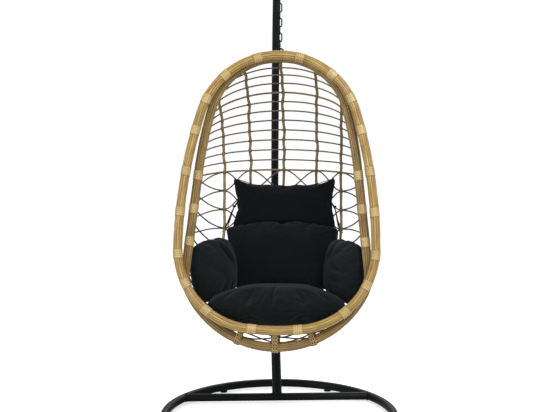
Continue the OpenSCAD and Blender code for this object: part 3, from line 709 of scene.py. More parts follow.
@dataclass
class Shell:
    """The open shell: wrapped ribs, two bands, thin wires, wavy strands below them, knots and lashings."""

    shape: BasketShape
    ribs: tuple = (-235.0, -136.0, 0.0, 136.0, 235.0)
    rib_d: float = 9.0
    band_d: float = 7.0
    wire_d: float = 5.0
    strand_d: float = 5.0
    bands: tuple = (5, 13)
    swing: float = 0.48
    strand_end: float = 0.05
    lash_pitch: float = 27.0
    lash_d: float = 3.8
    lash_shift: float = 4.5
    lash_wave: float = 5.0
    lash_rise: tuple = (0.3, 1.1)
    under_d: float = 4.0
    under_shift: float = 5.0
    under_sink: float = 1.6

    def _arc(self, surface: Surface, k: float, diameter: float, seed: int) -> None:
        """Adds one level's arc between the rims, with a slight waver."""
        first = float(self.shape.level(np.array([k]))["first"][0])
        trim = (self.shape.bundle_r - 2) / float(self.shape.level(np.array([k]))["radius"][0])
        t = np.linspace(0, 1, 150)
        angle = first + trim + (math.pi - 2 * first - 2 * trim) * t
        waver = ripple(t, seed, (3, 7, 11), 0.5) * np.sin(np.pi * t)
        levels = np.full_like(t, k) + ripple(t, seed + 7, (2, 5), 0.015) * np.sin(np.pi * t)
        line, out = self.shape.shell(levels, angle, waver)
        size = diameter / 2 + ripple(t, seed + 3, (19, 41), 0.08)
        self.shape.lay(surface, line, out, size, 10, False, (seed * 0.37) % 1.0 * 0.6)

    def build_ribs(self, wrapped: bpy.types.Material) -> None:
        """Builds the wrapped ribs."""
        surface = Surface("shell_wrapped_ribs")
        for i, x in enumerate(self.ribs):
            k, line, out = self.shape.rib(x)
            t = (k - k[0]) / (k[-1] - k[0])
            side = np.cross(unit(np.gradient(line, axis=0)), out)
            line = line + ripple(t, 60 + i, (4, 7, 12), 5.0)[:, None] * side
            knots = np.exp(-((k - np.round(k)) / 0.12) ** 2)
            size = self.rib_d / 2 + 1.0 + ripple(t, 70 + i, (23, 47), 0.4) + 1.2 * knots
            tones = np.broadcast_to((0.1 * i + 0.5 * knots)[:, None], (len(k), 12))
            self.shape.lay(surface, line, out, size, 12, False, lambda points, tones=tones: tones)
        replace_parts(surface.make(wrapped, Body.BASKET), "shell_ribs")

    def build_arcs(self, cane: bpy.types.Material, band: bpy.types.Material) -> None:
        """Builds the thin wires and the two bands."""
        wires = Surface("shell_cane_wires")
        for k in range(1, self.bands[1]):
            if k not in self.bands:
                self._arc(wires, k, self.wire_d + 0.8, k)
        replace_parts(wires.make(cane, Body.BASKET), "shell_wires")
        bands = Surface("shell_cross_bands")
        for k in self.bands:
            self._arc(bands, k, self.band_d + 0.4, 40 + k)
        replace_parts(bands.make(band, Body.BASKET), "shell_bands")

    def build_knots(self, cord: bpy.types.Material) -> None:
        """Builds the small ties where the wires and bands cross the ribs."""
        surface = Surface("shell_crossing_ties")
        turn = np.linspace(0, 2 * np.pi, 14, endpoint=False)
        for x in self.ribs:
            for k in range(1, self.bands[1] + 1):
                levels = np.array([k - 0.04, float(k), k + 0.04])
                angle = self.shape.rib_angle(levels, x)
                if abs(x) > float(np.interp(k, [1, 5], [200.0, 260.0])):
                    continue
                points, out = self.shape.shell(levels, angle)
                along = unit(points[2] - points[0])
                side = np.cross(along, out[1])
                for slant in (0.5, -0.5):
                    loop = (points[1] + 6.0 * (np.cos(turn)[:, None] * side + np.sin(turn)[:, None] * out[1])
                            + (slant * 7.0 * np.cos(turn))[:, None] * along)
                    ring = self.shape.world(loop)
                    axis = unit(self.shape.world_way(along))
                    surface.tube(ring, axis, 1.0 * MM, 6, closed=True, tone=0.5)
        surface.make(cord, Body.BASKET)

    def build_strands(self, cane: bpy.types.Material) -> None:
        """Builds the wavy strands: two to a row, which cross midway and meet the next rows at the ribs."""
        surface = Surface("shell_woven_strands")
        end = self.strand_end
        phase = np.linspace(end, 6 - end, 189)
        window = np.hanning(15)
        for row in range(self.bands[1], self.shape.last):
            for way in (-1.0, 1.0):
                k = row + 0.5 + way * self.swing * np.cos(np.pi * phase)
                level = self.shape.level(k)
                first = level["first"] + math.radians(3)
                reach = (level["half"] - self.shape.bundle_r - self.strand_d / 2) / level["radius"]
                edge = np.minimum((first + self.shape.rib_angle(k, self.ribs[-1])) / 2, np.arccos(reach))
                ribs = [self.shape.rib_angle(k, x) for x in self.ribs]
                marks = [np.pi - first, np.pi - edge, *ribs, edge, first]
                places = [end, 0.5, 1, 2, 3, 4, 5, 5.5, 6 - end]
                angle = np.zeros_like(phase)
                for i in range(len(places) - 1):
                    here = (phase >= places[i]) & (phase <= places[i + 1])
                    share = ((phase - places[i]) / (places[i + 1] - places[i]))[here]
                    angle[here] = marks[i][here] * (1 - share) + marks[i + 1][here] * share
                angle = np.convolve(np.pad(angle, 6, "edge"), window[1:-1] / window.sum(), "valid")
                out = way * (self.strand_d / 2 + 0.4) * np.sin(np.pi * phase)
                line, normal = self.shape.shell(k, angle, out)
                size = self.strand_d / 2 + 0.4 + ripple(phase / 5, row * 3 + int(way), (9, 21), 0.08)
                self.shape.lay(surface, line, normal, size, 8, False, ((row * 2 + way) * 0.31) % 1.0 * 0.7)
        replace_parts(surface.make(cane, Body.BASKET), "woven_strands")

    def _foot(self, rim: EggRim, x: float) -> Array:
        """Returns three points of a rim's bottom, close together round the place where it crosses x."""
        low = np.linspace(rim.girth() / 2 - 300, rim.girth() / 2, 400)
        place = float(np.interp(-abs(x), -rim.at(low)[:, 0], low))
        return rim.at(place + np.array([-1.0, 0.0, 1.0])) * [math.copysign(1.0, x), 1, 1]

    def build_lashings(self, cord: bpy.types.Material) -> None:
        """Builds the crossed cords at the middle ribs' feet, from the rear rim up to the front rim.

        Each loop goes round the rear rim and over a narrower top; plain cords, toned fully dark as painted
        shade in the holes between the crossed cords, lie under four crossed ones.
        """
        surface = Surface("rib_foot_lashings")
        around = np.linspace(0, 2 * np.pi, 800, endpoint=False)
        cosine, sine = np.cos(around)[:, None], np.sin(around)[:, None]
        rim_r, top_r = self.shape.bundle_r + 0.8, self.rib_d / 2
        for rib in self.ribs[1:4]:
            foot = self._foot(self.shape.rear, rib)
            way = unit(foot[2] - foot[0])
            up = self._foot(self.shape.front, rib)[1] - foot[1]
            up = up - np.dot(up, way) * way
            reach = float(np.linalg.norm(up)) - self.shape.bundle_r + 1.0
            out = unit(up)
            flat = np.cross(way, out)
            high = cosine > (rim_r - top_r) / reach
            spoke = cosine * out + sine * flat
            ring = foot[1] + reach * high * out + np.where(high, top_r, rim_r) * spoke
            step = np.linalg.norm(np.roll(ring, -1, 0) - ring, axis=-1)
            share = np.concatenate([[0.0], np.cumsum(step)[:-1]]) / step.sum()
            even = np.linspace(0, 1, 220, endpoint=False)
            ring, spoke = (np.stack([np.interp(even, share, axis, period=1.0) for axis in points.T], -1)
                           for points in (ring, spoke))
            waves = 2 * np.pi * round(step.sum() / self.lash_pitch) * even[:, None]
            low, rise = self.lash_rise
            for side, turn in ((-1, 1), (-1, -1), (1, 1), (1, -1)):
                aside = side * self.lash_shift + self.lash_wave * turn * np.sin(waves)
                loop = ring + aside * way + (low + rise * turn * np.cos(waves)) * spoke
                self.shape.lay(surface, loop, way, self.lash_d / 2, 7, True, 0.1 + 0.1 * turn)
            # painted shade: the under cords are toned fully dark so that they show as shadow through the
            # lattice
            for side in (-1, 0, 1):
                loop = ring + side * self.under_shift * way - self.under_sink * spoke
                self.shape.lay(surface, loop, way, self.under_d / 2, 7, True, 1.0)
        surface.make(cord, Body.BASKET)

    def build(self, palette: "Palette") -> None:
        """Builds the whole shell."""
        self.build_ribs(palette.wrapped)
        self.build_arcs(palette.wire, palette.band)
        self.build_knots(palette.wrapped)
        self.build_strands(palette.strand)
        self.build_lashings(palette.cord)


# ---------------------------------------------------------------- the cushions


@dataclass(frozen=True)
class Fold:
    """A crease or a soft ridge on a pad's upper face, from one (u, v) to another in shares from -1 to 1."""

    start: tuple
    end: tuple
    width: float
    depth: float


@dataclass
class Cushion:
    """A stuffed pad: cloth blown up from the CAD pad's own formula, held to it, then creased and seamed."""

    name: str
    node: str
    size: tuple
    corners: tuple
    pinch: tuple
    taper: float
    full: float
    place: Matrix
    folds: tuple = ()
    gather: float = 1.6
    seam: float = 4.0
    inset: float = 1.5
    swell: float = 0.022
    slack: float = 0.05
    stand_proud: float = 1.0
    voxel: float = 0.0055
    seed: int = 1
    # share of painted light on the cloth: 0 paints it shaded, 1 paints it lit
    lit_share: float = 0.35
    leans_on: BasketShape | None = None
    clear: float = 7.0
    steps: int = 48
    welt_r: float = 1.5

    def outline(self, u: Array, v: Array, inset: float) -> tuple[Array, Array]:
        """Returns the pad's x and y in millimetres at shares u and v."""
        w, h = self.size[0] / 2 - inset, self.size[1] / 2 - inset
        x = w * u * np.sqrt(1 - self.corners[0] * v * v / 2) * (1 - self.pinch[0] * (1 - v * v))
        round_end, pinch = (np.where(v > 0, both[1], both[2]) for both in (self.corners, self.pinch))
        y = h * v * np.sqrt(1 - round_end * u * u / 2) * (1 - pinch * (1 - u ** 4))
        return x * (1 - self.taper * (1 - v) / 2), y

    def shares(self, points: Array) -> tuple[Array, Array]:
        """Returns the shares u and v of points in the pad's own metres: the inverse of the outline."""
        x, y = points[:, 0] / MM, points[:, 1] / MM
        u = v = np.zeros_like(x)
        for _ in range(14):
            wide, tall = self.outline(np.ones_like(u), v, 0)[0], self.outline(u, np.ones_like(v), 0)[1]
            u, v = np.clip(x / wide, -1.3, 1.3), np.clip(y / tall, -1.3, 1.3)
        return u, v

    def crown(self, u: Array, v: Array) -> Array:
        """Returns half the pad's thickness in millimetres at shares u and v."""
        swell = np.maximum(0, (1 - np.clip(u, -1, 1) ** 4) * (1 - np.clip(v, -1, 1) ** 4))
        return self.seam / 2 + (self.size[2] - self.seam) / 2 * swell ** self.full

    def blank(self) -> bpy.types.Object:
        """Makes the closed starting form in the pad's own frame, a little smaller than the cushion."""
        steps = self.steps
        share = np.sin(np.linspace(-np.pi / 2, np.pi / 2, steps + 1))
        u, v = np.meshgrid(share, share, indexing="ij")
        x, y = self.outline(u, v, self.inset)
        thin = 1 - 2 * self.inset / (self.size[2] - self.seam)
        half = self.seam / 2 + (self.crown(u, v) - self.seam / 2) * thin
        points = np.concatenate([np.stack([x, y, z], -1).reshape(-1, 3) for z in (half, -half)])
        n = steps + 1
        i, j = np.meshgrid(np.arange(steps), np.arange(steps), indexing="ij")
        a = (i * n + j).reshape(-1)
        front = np.stack([a, a + n, a + n + 1, a + 1], -1)
        back = front[:, ::-1] + n * n
        k = np.arange(steps)
        rim = np.concatenate([k * n, steps * n + k, (steps - k) * n + steps, steps - k])
        after = np.roll(rim, -1)
        wall = np.stack([after, rim, rim + n * n, after + n * n], -1)
        mesh = bpy.data.meshes.new(self.name)
        mesh.from_pydata((points * MM).tolist(), [], np.concatenate([front, back, wall]).tolist())
        mesh.update()
        obj = bpy.data.objects.new(self.name, mesh)
        bpy.context.scene.collection.objects.link(obj)
        return obj

    def blow_up(self, obj: bpy.types.Object) -> None:
        """Remeshes the blank and lets cloth under pressure swell it, then caps how far each point went."""
        remesh = obj.modifiers.new("even", "REMESH")
        remesh.mode = "VOXEL"
        remesh.voxel_size = self.voxel * 1.0
        remesh.use_smooth_shade = True
        apply_modifiers(obj)
        before = coordinates(obj.data)
        cloth = obj.modifiers.new("stuffing", "CLOTH")
        cloth.settings.use_pressure = True
        cloth.settings.uniform_pressure_force = 4.0
        cloth.settings.effector_weights.gravity = 0.0
        cloth.settings.tension_stiffness = 18.0
        cloth.settings.shrink_min = -self.slack
        cloth.settings.bending_stiffness = 0.3
        for frame in range(1, 21):
            bpy.context.scene.frame_set(frame)
        apply_modifiers(obj)
        bpy.context.scene.frame_set(1)
        moved = coordinates(obj.data) - before
        length = np.linalg.norm(moved, axis=-1, keepdims=True)
        moved *= np.minimum(1.0, self.swell / np.maximum(length, 1e-9))
        after = before + moved
        after *= np.ptp(before, axis=0) / np.ptp(after, axis=0) * [1.0, 1.0, 1.05]
        obj.data.vertices.foreach_set("co", self.held(after).astype(np.float32).reshape(-1))
        obj.data.update()

    def held(self, points: Array) -> Array:
        """Returns points brought back to the pad's full form where the cloth swelled past it."""
        u, v = self.shares(points)
        over = np.maximum(1.0, np.maximum(np.abs(u), np.abs(v)))
        limit = (self.crown(u, v) + self.stand_proud) * MM
        flat = np.clip(points[:, 2], -limit, limit)
        return np.stack([points[:, 0] / over, points[:, 1] / over, flat], -1)

    def leant(self, points: Array) -> Array:
        """Returns the pad's own points brought forward where it leans on the shell, its back face in full."""
        if self.leans_on is None:
            return points
        depth = self.crown(*self.shares(points)) * MM
        spin = np.array(self.place.to_3x3())
        back = np.stack([points[:, 0], points[:, 1], -depth], -1) @ spin.T + np.array(self.place.translation)
        share = 0.75 - 0.25 * np.clip(points[:, 2] / depth, -1, 1)
        over = self.leans_on.past_wall(back, self.clear) * share
        return points + over[:, None] * (self.leans_on.world_way(np.array([0.0, -1.0, 0.0])) @ spin)

    def crease(self, obj: bpy.types.Object) -> None:
        """Presses in the folds, the gathers along the seam and the slow unevenness of the stuffing."""
        mesh = obj.data
        points = coordinates(mesh)
        normals = np.zeros(len(points) * 3, np.float32)
        mesh.vertices.foreach_get("normal", normals)
        normals = normals.reshape(-1, 3)
        u, v = self.shares(points)
        crown = points[:, 2] / (self.size[2] / 2 * MM)
        push = np.zeros(len(points))
        for fold in self.folds:
            a, b = np.array(fold.start), np.array(fold.end)
            span = b - a
            p = np.stack([u, v], -1) - a
            share = np.clip(p @ span / (span @ span), 0, 1)
            gap = (p - share[:, None] * span) * [self.size[0] / 2, self.size[1] / 2]
            ends = 0.35 + 0.65 * np.sin(np.pi * share)
            near = np.exp(-(np.linalg.norm(gap, axis=-1) / fold.width) ** 2) * ends
            push += fold.depth * near * np.clip(crown * 4, 0, 1)
        girth = np.arctan2(v, u) / (2 * np.pi)
        waves = ripple(girth, self.seed, (17, 29, 41, 53), 1.0)
        at_seam = np.exp(-(np.abs(crown) / 0.55) ** 2)
        push += self.gather * waves * at_seam
        slow = ripple(u * 0.5 + 0.2 * v, self.seed + 5, (1, 2, 3), 1.0)
        push += 1.2 * (slow + ripple(v * 0.5 - 0.3 * u, self.seed + 9, (1, 2), 1.0) - 1.2)
        points += normals * (push * MM)[:, None]
        mesh.vertices.foreach_set("co", points.astype(np.float32).reshape(-1))
        mesh.update()

    def map_cloth(self, mesh: bpy.types.Mesh) -> None:
        """Gives the mesh UVs in metres: each face is laid flat along the axis that it faces most."""
        points = coordinates(mesh)
        loops = np.zeros(len(mesh.loops), np.int32)
        mesh.loops.foreach_get("vertex_index", loops)
        totals = np.zeros(len(mesh.polygons), np.int32)
        mesh.polygons.foreach_get("loop_total", totals)
        normals = np.zeros(len(mesh.polygons) * 3, np.float32)
        mesh.polygons.foreach_get("normal", normals)
        axis = np.repeat(np.abs(normals.reshape(-1, 3) * [0.7, 0.7, 1.0]).argmax(-1), totals)
        p = points[loops]
        side = np.where((axis == 1)[:, None], p[:, [0, 2]], p[:, [1, 2]])
        uv = np.where((axis == 2)[:, None], p[:, :2], side)
        layer = mesh.uv_layers.new(name="UVMap")
        layer.data.foreach_set("uv", uv.astype(np.float32).reshape(-1))

    def sewn_edge(self, mesh: bpy.types.Mesh, cloth: bpy.types.Material) -> bpy.types.Object:
        """Builds the sewn edge, a narrow welt where the finished pad's two faces meet."""
        points = coordinates(mesh)
        rim = points[np.abs(points[:, 2]) < 0.004]
        angle = np.arctan2(rim[:, 1] / self.size[1], rim[:, 0] / self.size[0])
        count = 220
        reach = np.zeros(count)
        place = np.floor((angle / (2 * np.pi) % 1.0) * count).astype(int) % count
        np.maximum.at(reach, place, np.hypot(rim[:, 0] / self.size[0], rim[:, 1] / self.size[1]))
        known = np.flatnonzero(reach)
        reach = np.interp(np.arange(count), known, reach[known], period=count)
        for _ in range(2):
            reach = (np.roll(reach, 1) + 2 * reach + np.roll(reach, -1)) / 4
        t = (np.arange(count) + 0.5) / count * 2 * np.pi
        ring = np.stack([reach * np.cos(t) * self.size[0], reach * np.sin(t) * self.size[1], 0 * t], -1)
        spin = np.array(self.place.to_3x3())
        surface = Surface(self.name + "_edge")
        line = self.leant(ring) @ spin.T + np.array(self.place.translation)
        surface.tube(line, spin[:, 2], self.welt_r * MM, 8, closed=True)
        return surface.make(cloth, Body.BASKET)

    def build(self, cloth: bpy.types.Material) -> bpy.types.Object:
        obj = self.blank()
        self.blow_up(obj)
        self.crease(obj)
        smooth = obj.modifiers.new("smooth", "SUBSURF")
        smooth.levels = smooth.render_levels = 1
        apply_modifiers(obj)
        self.map_cloth(obj.data)
        self.sewn_edge(obj.data, cloth)
        obj.data.vertices.foreach_set("co", self.leant(coordinates(obj.data)).astype(np.float32).reshape(-1))
        obj.data.transform(self.place, shape_keys=False)
        if self.place.determinant() < 0:
            obj.data.flip_normals()
        obj.data.polygons.foreach_set("use_smooth", np.ones(len(obj.data.polygons), bool))
        # the tone attribute carries the pad's painted light and shade
        tone = obj.data.attributes.new("tone", "FLOAT", "POINT")
        tone.data.foreach_set("value", np.full(len(obj.data.vertices), self.lit_share, np.float32))
        obj.data.materials.clear()
        obj.data.materials.append(cloth)
        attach(obj, Body.BASKET.value)
        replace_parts(obj, self.node)
        LOG.info("cushion %s: %d faces", self.name, len(obj.data.polygons))
        return obj


def coordinates(mesh: bpy.types.Mesh) -> Array:
    """Returns a mesh's vertices as an array."""
    flat = np.zeros(len(mesh.vertices) * 3, np.float32)
    mesh.vertices.foreach_get("co", flat)
    return flat.reshape(-1, 3).astype(float)


def apply_modifiers(obj: bpy.types.Object) -> None:
    """Bakes an object's modifiers into its mesh."""
    graph = bpy.context.evaluated_depsgraph_get()
    graph.update()
    baked = bpy.data.meshes.new_from_object(obj.evaluated_get(graph), preserve_all_data_layers=True,
                                            depsgraph=graph)
    obj.modifiers.clear()
    obj.data = baked


@dataclass
class Cushions:
    """The five loose cushions and the cords that tie the head pillow to the shell."""

    shape: BasketShape
    rib_x: float = 235.0
    pillow_x: float = 6.0
    tie_at: tuple = (184.0, 199.0, 846.0)
    knot_from_tie: tuple = (20.0, 6.0, -22.0)
    tie_fall: float = 108.0
    tie_loops: tuple = ((5.0, 0.0), (-4.0, 14.0))
    tie_sag: float = 8.0
    wrap_r: float = 9.0
    tie_d: float = 3.4
    knot_d: float = 4.0
    knot_size: tuple = (4.0, 2.0, 3.0)

    def placed(self, at: tuple, z: float, x: float, mirrored: bool = False) -> Matrix:
        """Returns the matrix from a pad's own metres to the scene: turned about X, then Z, then moved."""
        spin = Matrix.Rotation(math.radians(self.shape.turn), 4, "Z")
        basket = Matrix.Translation((0, self.shape.hang_y * MM, 0)) @ spin
        flip = Matrix.Diagonal((-1, 1, 1, 1)) if mirrored else Matrix.Identity(4)
        move = Matrix.Translation(Vector(at) * MM)
        turned = basket @ flip @ move @ Matrix.Rotation(math.radians(z), 4, "Z")
        return turned @ Matrix.Rotation(math.radians(x), 4, "X")

    def pads(self) -> list[Cushion]:
        """Returns the five pads."""
        seat_folds = (Fold((0.06, 0.97), (0.02, 0.3), 8, -12.0), Fold((0.45, 0.98), (0.32, 0.62), 8, -7.0),
                      Fold((-0.42, 0.98), (-0.28, 0.6), 8, -7.0), Fold((0.78, 0.95), (0.6, 0.6), 9, -6.0),
                      Fold((-0.75, 0.95), (-0.58, 0.6), 9, -6.0), Fold((0.22, 0.98), (0.17, 0.74), 6, -5.0),
                      Fold((-0.2, 0.98), (-0.16, 0.72), 6, -5.0), Fold((-0.5, 0.1), (0.45, 0.2), 42, -3.0))
        back_folds = (Fold((0.97, 0.9), (0.55, 0.5), 9, -3.5), Fold((-0.97, 0.9), (-0.55, 0.5), 9, -3.5),
                      Fold((-0.5, 0.1), (0.4, 0.0), 40, -3.0), Fold((0.9, -0.2), (0.5, -0.1), 14, -2.5))
        head_folds = (Fold((-0.95, 0.85), (-0.5, 0.3), 8, -3.5), Fold((0.95, 0.85), (0.5, 0.3), 8, -3.5),
                      Fold((-0.95, -0.8), (-0.55, -0.3), 8, -3.0), Fold((0.95, -0.8), (0.5, -0.3), 8, -3.0),
                      Fold((-0.3, 0.7), (0.3, 0.6), 22, -2.0))
        left_folds = (Fold((-0.55, 0.68), (0.08, 0.74), 7, -12.0), Fold((0.02, 0.78), (0.6, 0.1), 8, -15.0),
                      Fold((0.15, 0.88), (0.72, 0.25), 8, 4.0), Fold((-0.75, 0.2), (0.0, -0.1), 13, -6.0),
                      Fold((-0.25, -0.9), (0.05, -0.4), 8, -7.0), Fold((0.35, -0.9), (0.4, -0.4), 8, -7.0))
        right_folds = (Fold((-0.7, 0.05), (0.1, 0.12), 8, -11.0), Fold((-0.6, -0.3), (0.05, -0.25), 8, -9.0),
                       Fold((-0.6, -0.1), (0.1, -0.06), 8, 3.0), Fold((0.2, 0.85), (0.6, 0.2), 9, -9.0),
                       Fold((-0.2, -0.9), (0.1, -0.45), 9, -6.0), Fold((-0.4, 0.75), (0.1, 0.45), 10, -6.0))
        # painted light: the arm pads are toned lighter
        arm = {"size": (268, 240, 98), "corners": (0.55, 0.55, 0.55), "pinch": (0, 0, 0), "taper": 0,
               "full": 0.5, "lit_share": 0.9}
        beside = (-247.5, -51, 601.5)
        return [
            Cushion("seat_cushion_cloth", "seat_cushion", (580, 346, 157), (0.42, 0.45, 0.45), (0, 0, 0),
                    0.4, 0.45, self.placed((0, -80, 472.7), 180, 5), seat_folds, seed=11),
            Cushion("back_cushion_cloth", "back_cushion", (468, 300, 105), (0.15, 0.85, 0), (0.02, 0, 0.06),
                    0.1, 0.45, self.placed((2, 126.2, 627.3), 0, 81), back_folds, gather=0.8, slack=0.025,
                    seed=23, leans_on=self.shape),
            # painted shade: the head pillow is toned darker
            Cushion("head_pillow_cloth", "head_pillow", (421, 228, 80), (0.03, 0.05, 0.05),
                    (0.015, 0.15, 0.03), 0, 0.6, self.placed((self.pillow_x, 196.6, 834), 0, 86.5),
                    head_folds, gather=1.0, slack=0.025, seed=37, lit_share=0.0, leans_on=self.shape),
            Cushion("arm_cushion_left_cloth", "arm_cushion_left", place=self.placed(beside, 64, 84),
                    folds=left_folds, seed=41, **arm),
            Cushion("arm_cushion_right_cloth", "arm_cushion_right", place=self.placed(beside, 64, 84, True),
                    folds=right_folds, seed=53, **arm),
        ]

    def _tie(self, surface: Surface, line: Array, radius: float) -> None:
        """Adds a closed cord along basket points."""
        way = unit(np.roll(line, -1, 0) - np.roll(line, 1, 0))
        self.shape.lay(surface, line, carried(way, np.array([0.1, 0.9, 0.4]), True), radius, 7, True)

    def build_ties(self, cloth: bpy.types.Material) -> None:
        """Builds the doubled cords that tie the head pillow's sides round the outer ribs, with their knots.

        Each cord is a ring of corners, cut smooth; a knot is a trefoil wound round a small ring.
        """
        surface = Surface("head_pillow_ties")
        out, deep, height = self.tie_at
        for side in (-1.0, 1.0):
            _, line, normals = self.shape.rib(side * self.rib_x)
            seat = np.array([self.pillow_x + side * out, deep, height])
            knot = seat + [side * self.knot_from_tie[0], *self.knot_from_tie[1:]]
            at = int(np.argmin(np.abs(line[:, 2] - (seat[2] - self.tie_fall))))
            rib, away, back = line[at], np.array([side, 0.0, 0.0]), normals[at]
            for spread, drop in self.tie_loops:
                down = np.array([0.0, 0.0, -drop])
                hung = (knot + rib) / 2 + down + [0.0, 0.0, -self.tie_sag]
                low, wrap = rib + down, self.wrap_r
                corners = np.array([seat + [0, 3, spread], knot + [0, 2, 2], hung + [0, -6, spread],
                                    low - wrap * back, low + wrap * away, low + wrap * back,
                                    hung + [0, 6, -spread], knot + [0, -2, -2], seat + [0, -3, -spread]])
                for _ in range(4):
                    after = np.roll(corners, -1, 0)
                    cut = [0.75 * corners + 0.25 * after, 0.25 * corners + 0.75 * after]
                    corners = np.stack(cut, 1).reshape(-1, 3)
                self._tie(surface, corners, self.tie_d / 2)
            t = np.linspace(0, 2 * np.pi, 40, endpoint=False)
            big, small, tall = self.knot_size
            arm = big + small * np.cos(3 * t)
            ball = np.stack([arm * np.cos(2 * t), arm * np.sin(2 * t), tall * np.sin(3 * t)], -1)
            self._tie(surface, ball + knot, self.knot_d / 2)
        surface.make(cloth, Body.BASKET)

    def build(self, cloth: bpy.types.Material) -> None:
        """Builds the cushions and the ties."""
        for pad in self.pads():
            pad.build(cloth)
        self.build_ties(cloth)


# ---------------------------------------------------------------- the hanging gear and the stand


@dataclass
class HangingGear:
    """The coil spring with a loop at each end."""

    hang_y: float = -36.0
    middle_z: float = 1756.55
    wire_d: float = 5.0
    coil_d: float = 38.0
    pitch: float = 7.4
    curls: int = 12
    loop_r: float = 10.0
    lead: float = 2.0

    def half_line(self) -> Array:
        """Returns the spring's wire from its middle up through the top loop, about its own centre."""
        turn = 180.0 * self.curls - 90
        r = (self.coil_d - self.wire_d) / 2
        half = self.pitch * turn / 360
        loop_mid = half + self.lead + self.loop_r

        def turned(p: Array) -> Array:
            """Turns points about Z to where the coil ends."""
            t = math.radians(turn)
            return np.stack([p[:, 0] * math.cos(t) - p[:, 1] * math.sin(t),
                             p[:, 0] * math.sin(t) + p[:, 1] * math.cos(t), p[:, 2]], -1)

        a = np.radians(np.linspace(0, turn, 340))
        coil = np.stack([r * np.cos(a), r * np.sin(a), self.pitch * a / 2 / np.pi], -1)
        a = np.radians(np.linspace(15, 165, 12))
        climb = half + self.lead * a / np.pi
        rise = turned(np.stack([r / 2 * (1 + np.cos(a)), r / 2 * np.sin(a), climb], -1))
        a = np.radians(np.linspace(0, 270, 40))
        loop = turned(np.stack([0 * a, -self.loop_r * np.sin(a), loop_mid - self.loop_r * np.cos(a)], -1))
        end = turned(np.array([[0.0, self.loop_r, loop_mid - self.wire_d]]))
        return np.concatenate([coil, rise, loop, end])

    def build(self, zinc: bpy.types.Material) -> None:
        """Builds the spring, which rides on the hanger and keeps its length when the basket bounces."""
        half = self.half_line()
        line = np.concatenate([(half * [1, -1, -1])[:0:-1], half])
        for _ in range(3):
            line[1:-1] = (line[:-2] + 2 * line[1:-1] + line[2:]) / 4
        line = (line + [0.0, self.hang_y, self.middle_z]) * MM
        way = unit(np.gradient(line, axis=0))
        side = np.cross(way, [0.0, 0.0, 1.0])
        flat = np.linalg.norm(side, axis=-1, keepdims=True)
        side = np.where(flat > 0.2, side, np.cross(way, [1.0, 0.0, 0.0]))
        surface = Surface("suspension_spring_coil")
        surface.tube(line, carried(way, side[0]), self.wire_d / 2 * MM, 14)
        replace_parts(surface.make(zinc, Body.HANGER), "suspension_spring")


def carried(way: Array, first: Array, closed: bool = False) -> Array:
    """Carries a vector along a line's directions without twist; a closed line shares out its error."""
    out = np.zeros_like(way)
    side = unit(first - way[0] * np.dot(first, way[0]))
    for i, w in enumerate(way):
        side = unit(side - w * np.dot(side, w))
        out[i] = side
    if closed:
        last = unit(side - way[0] * np.dot(side, way[0]))
        miss = math.atan2(float(np.dot(np.cross(last, out[0]), way[0])), float(np.dot(last, out[0])))
        turn = (miss * np.arange(len(way)) / len(way))[:, None]
        out = out * np.cos(turn) + np.cross(way, out) * np.sin(turn)
    return out


@dataclass
class Stand:
    """The weld beads at the joints of the steel stand, from its tubes' sizes."""

    ring_y: float = -16.0
    ring_r: float = 450.0
    ring_d: float = 34.0
    bar_y: float = 216.0
    bar_d: float = 32.0
    tube_z: float = 22.0
    pole_d: float = 40.0
    lean: float = 48.0
    bead: float = 2.6

    def _bead(self, surface: Surface, line: Array, seed: int) -> None:
        """Adds a closed bead with the scalloped thickness of a weld."""
        t = np.linspace(0, 1, len(line), endpoint=False)
        size = self.bead * (1 + 0.16 * np.abs(np.sin(np.pi * 34 * t))) + ripple(t, seed, (5, 11), 0.2)
        way = unit(np.roll(line, -1, 0) - np.roll(line, 1, 0))
        surface.tube(line * MM, carried(way, np.array([0.3, 0.5, 0.8]), True), size * MM, 8, closed=True)

    def build(self, paint: bpy.types.Material) -> None:
        """Builds the weld beads round the pole's foot and the crossbar's ends."""
        surface = Surface("weld_beads")
        r = self.bar_d / 2
        lean = math.radians(self.lean)
        phi = np.linspace(lean - np.pi / 2, lean + np.pi / 2, 60)
        across = r * np.sin(phi - lean)
        x = np.sqrt((self.pole_d / 2) ** 2 - across ** 2)
        y, z = self.bar_y + r * np.cos(phi), self.tube_z + r * np.sin(phi)
        right = np.stack([x, y, z], -1)
        link = np.linspace(1, -1, 12)[1:-1, None] * [1, 0, 0]
        top = right[-1] * [0, 1, 1] + link * right[-1][0]
        foot = right[0] * [0, 1, 1] - link * right[0][0]
        self._bead(surface, np.concatenate([right, top, (right * [-1, 1, 1])[::-1], foot]), 3)
        phi = np.linspace(0, 2 * np.pi, 80, endpoint=False)
        y, z = self.bar_y + r * np.cos(phi), r * np.sin(phi)
        reach = self.ring_r - np.sqrt((self.ring_d / 2) ** 2 - z ** 2)
        x = np.sqrt(reach ** 2 - (y - self.ring_y) ** 2)
        for side in (-1, 1):
            self._bead(surface, np.stack([side * x, y, self.tube_z + z], -1), 5 + side)
        surface.make(paint, Body.STAND)


# ---------------------------------------------------------------- the studio


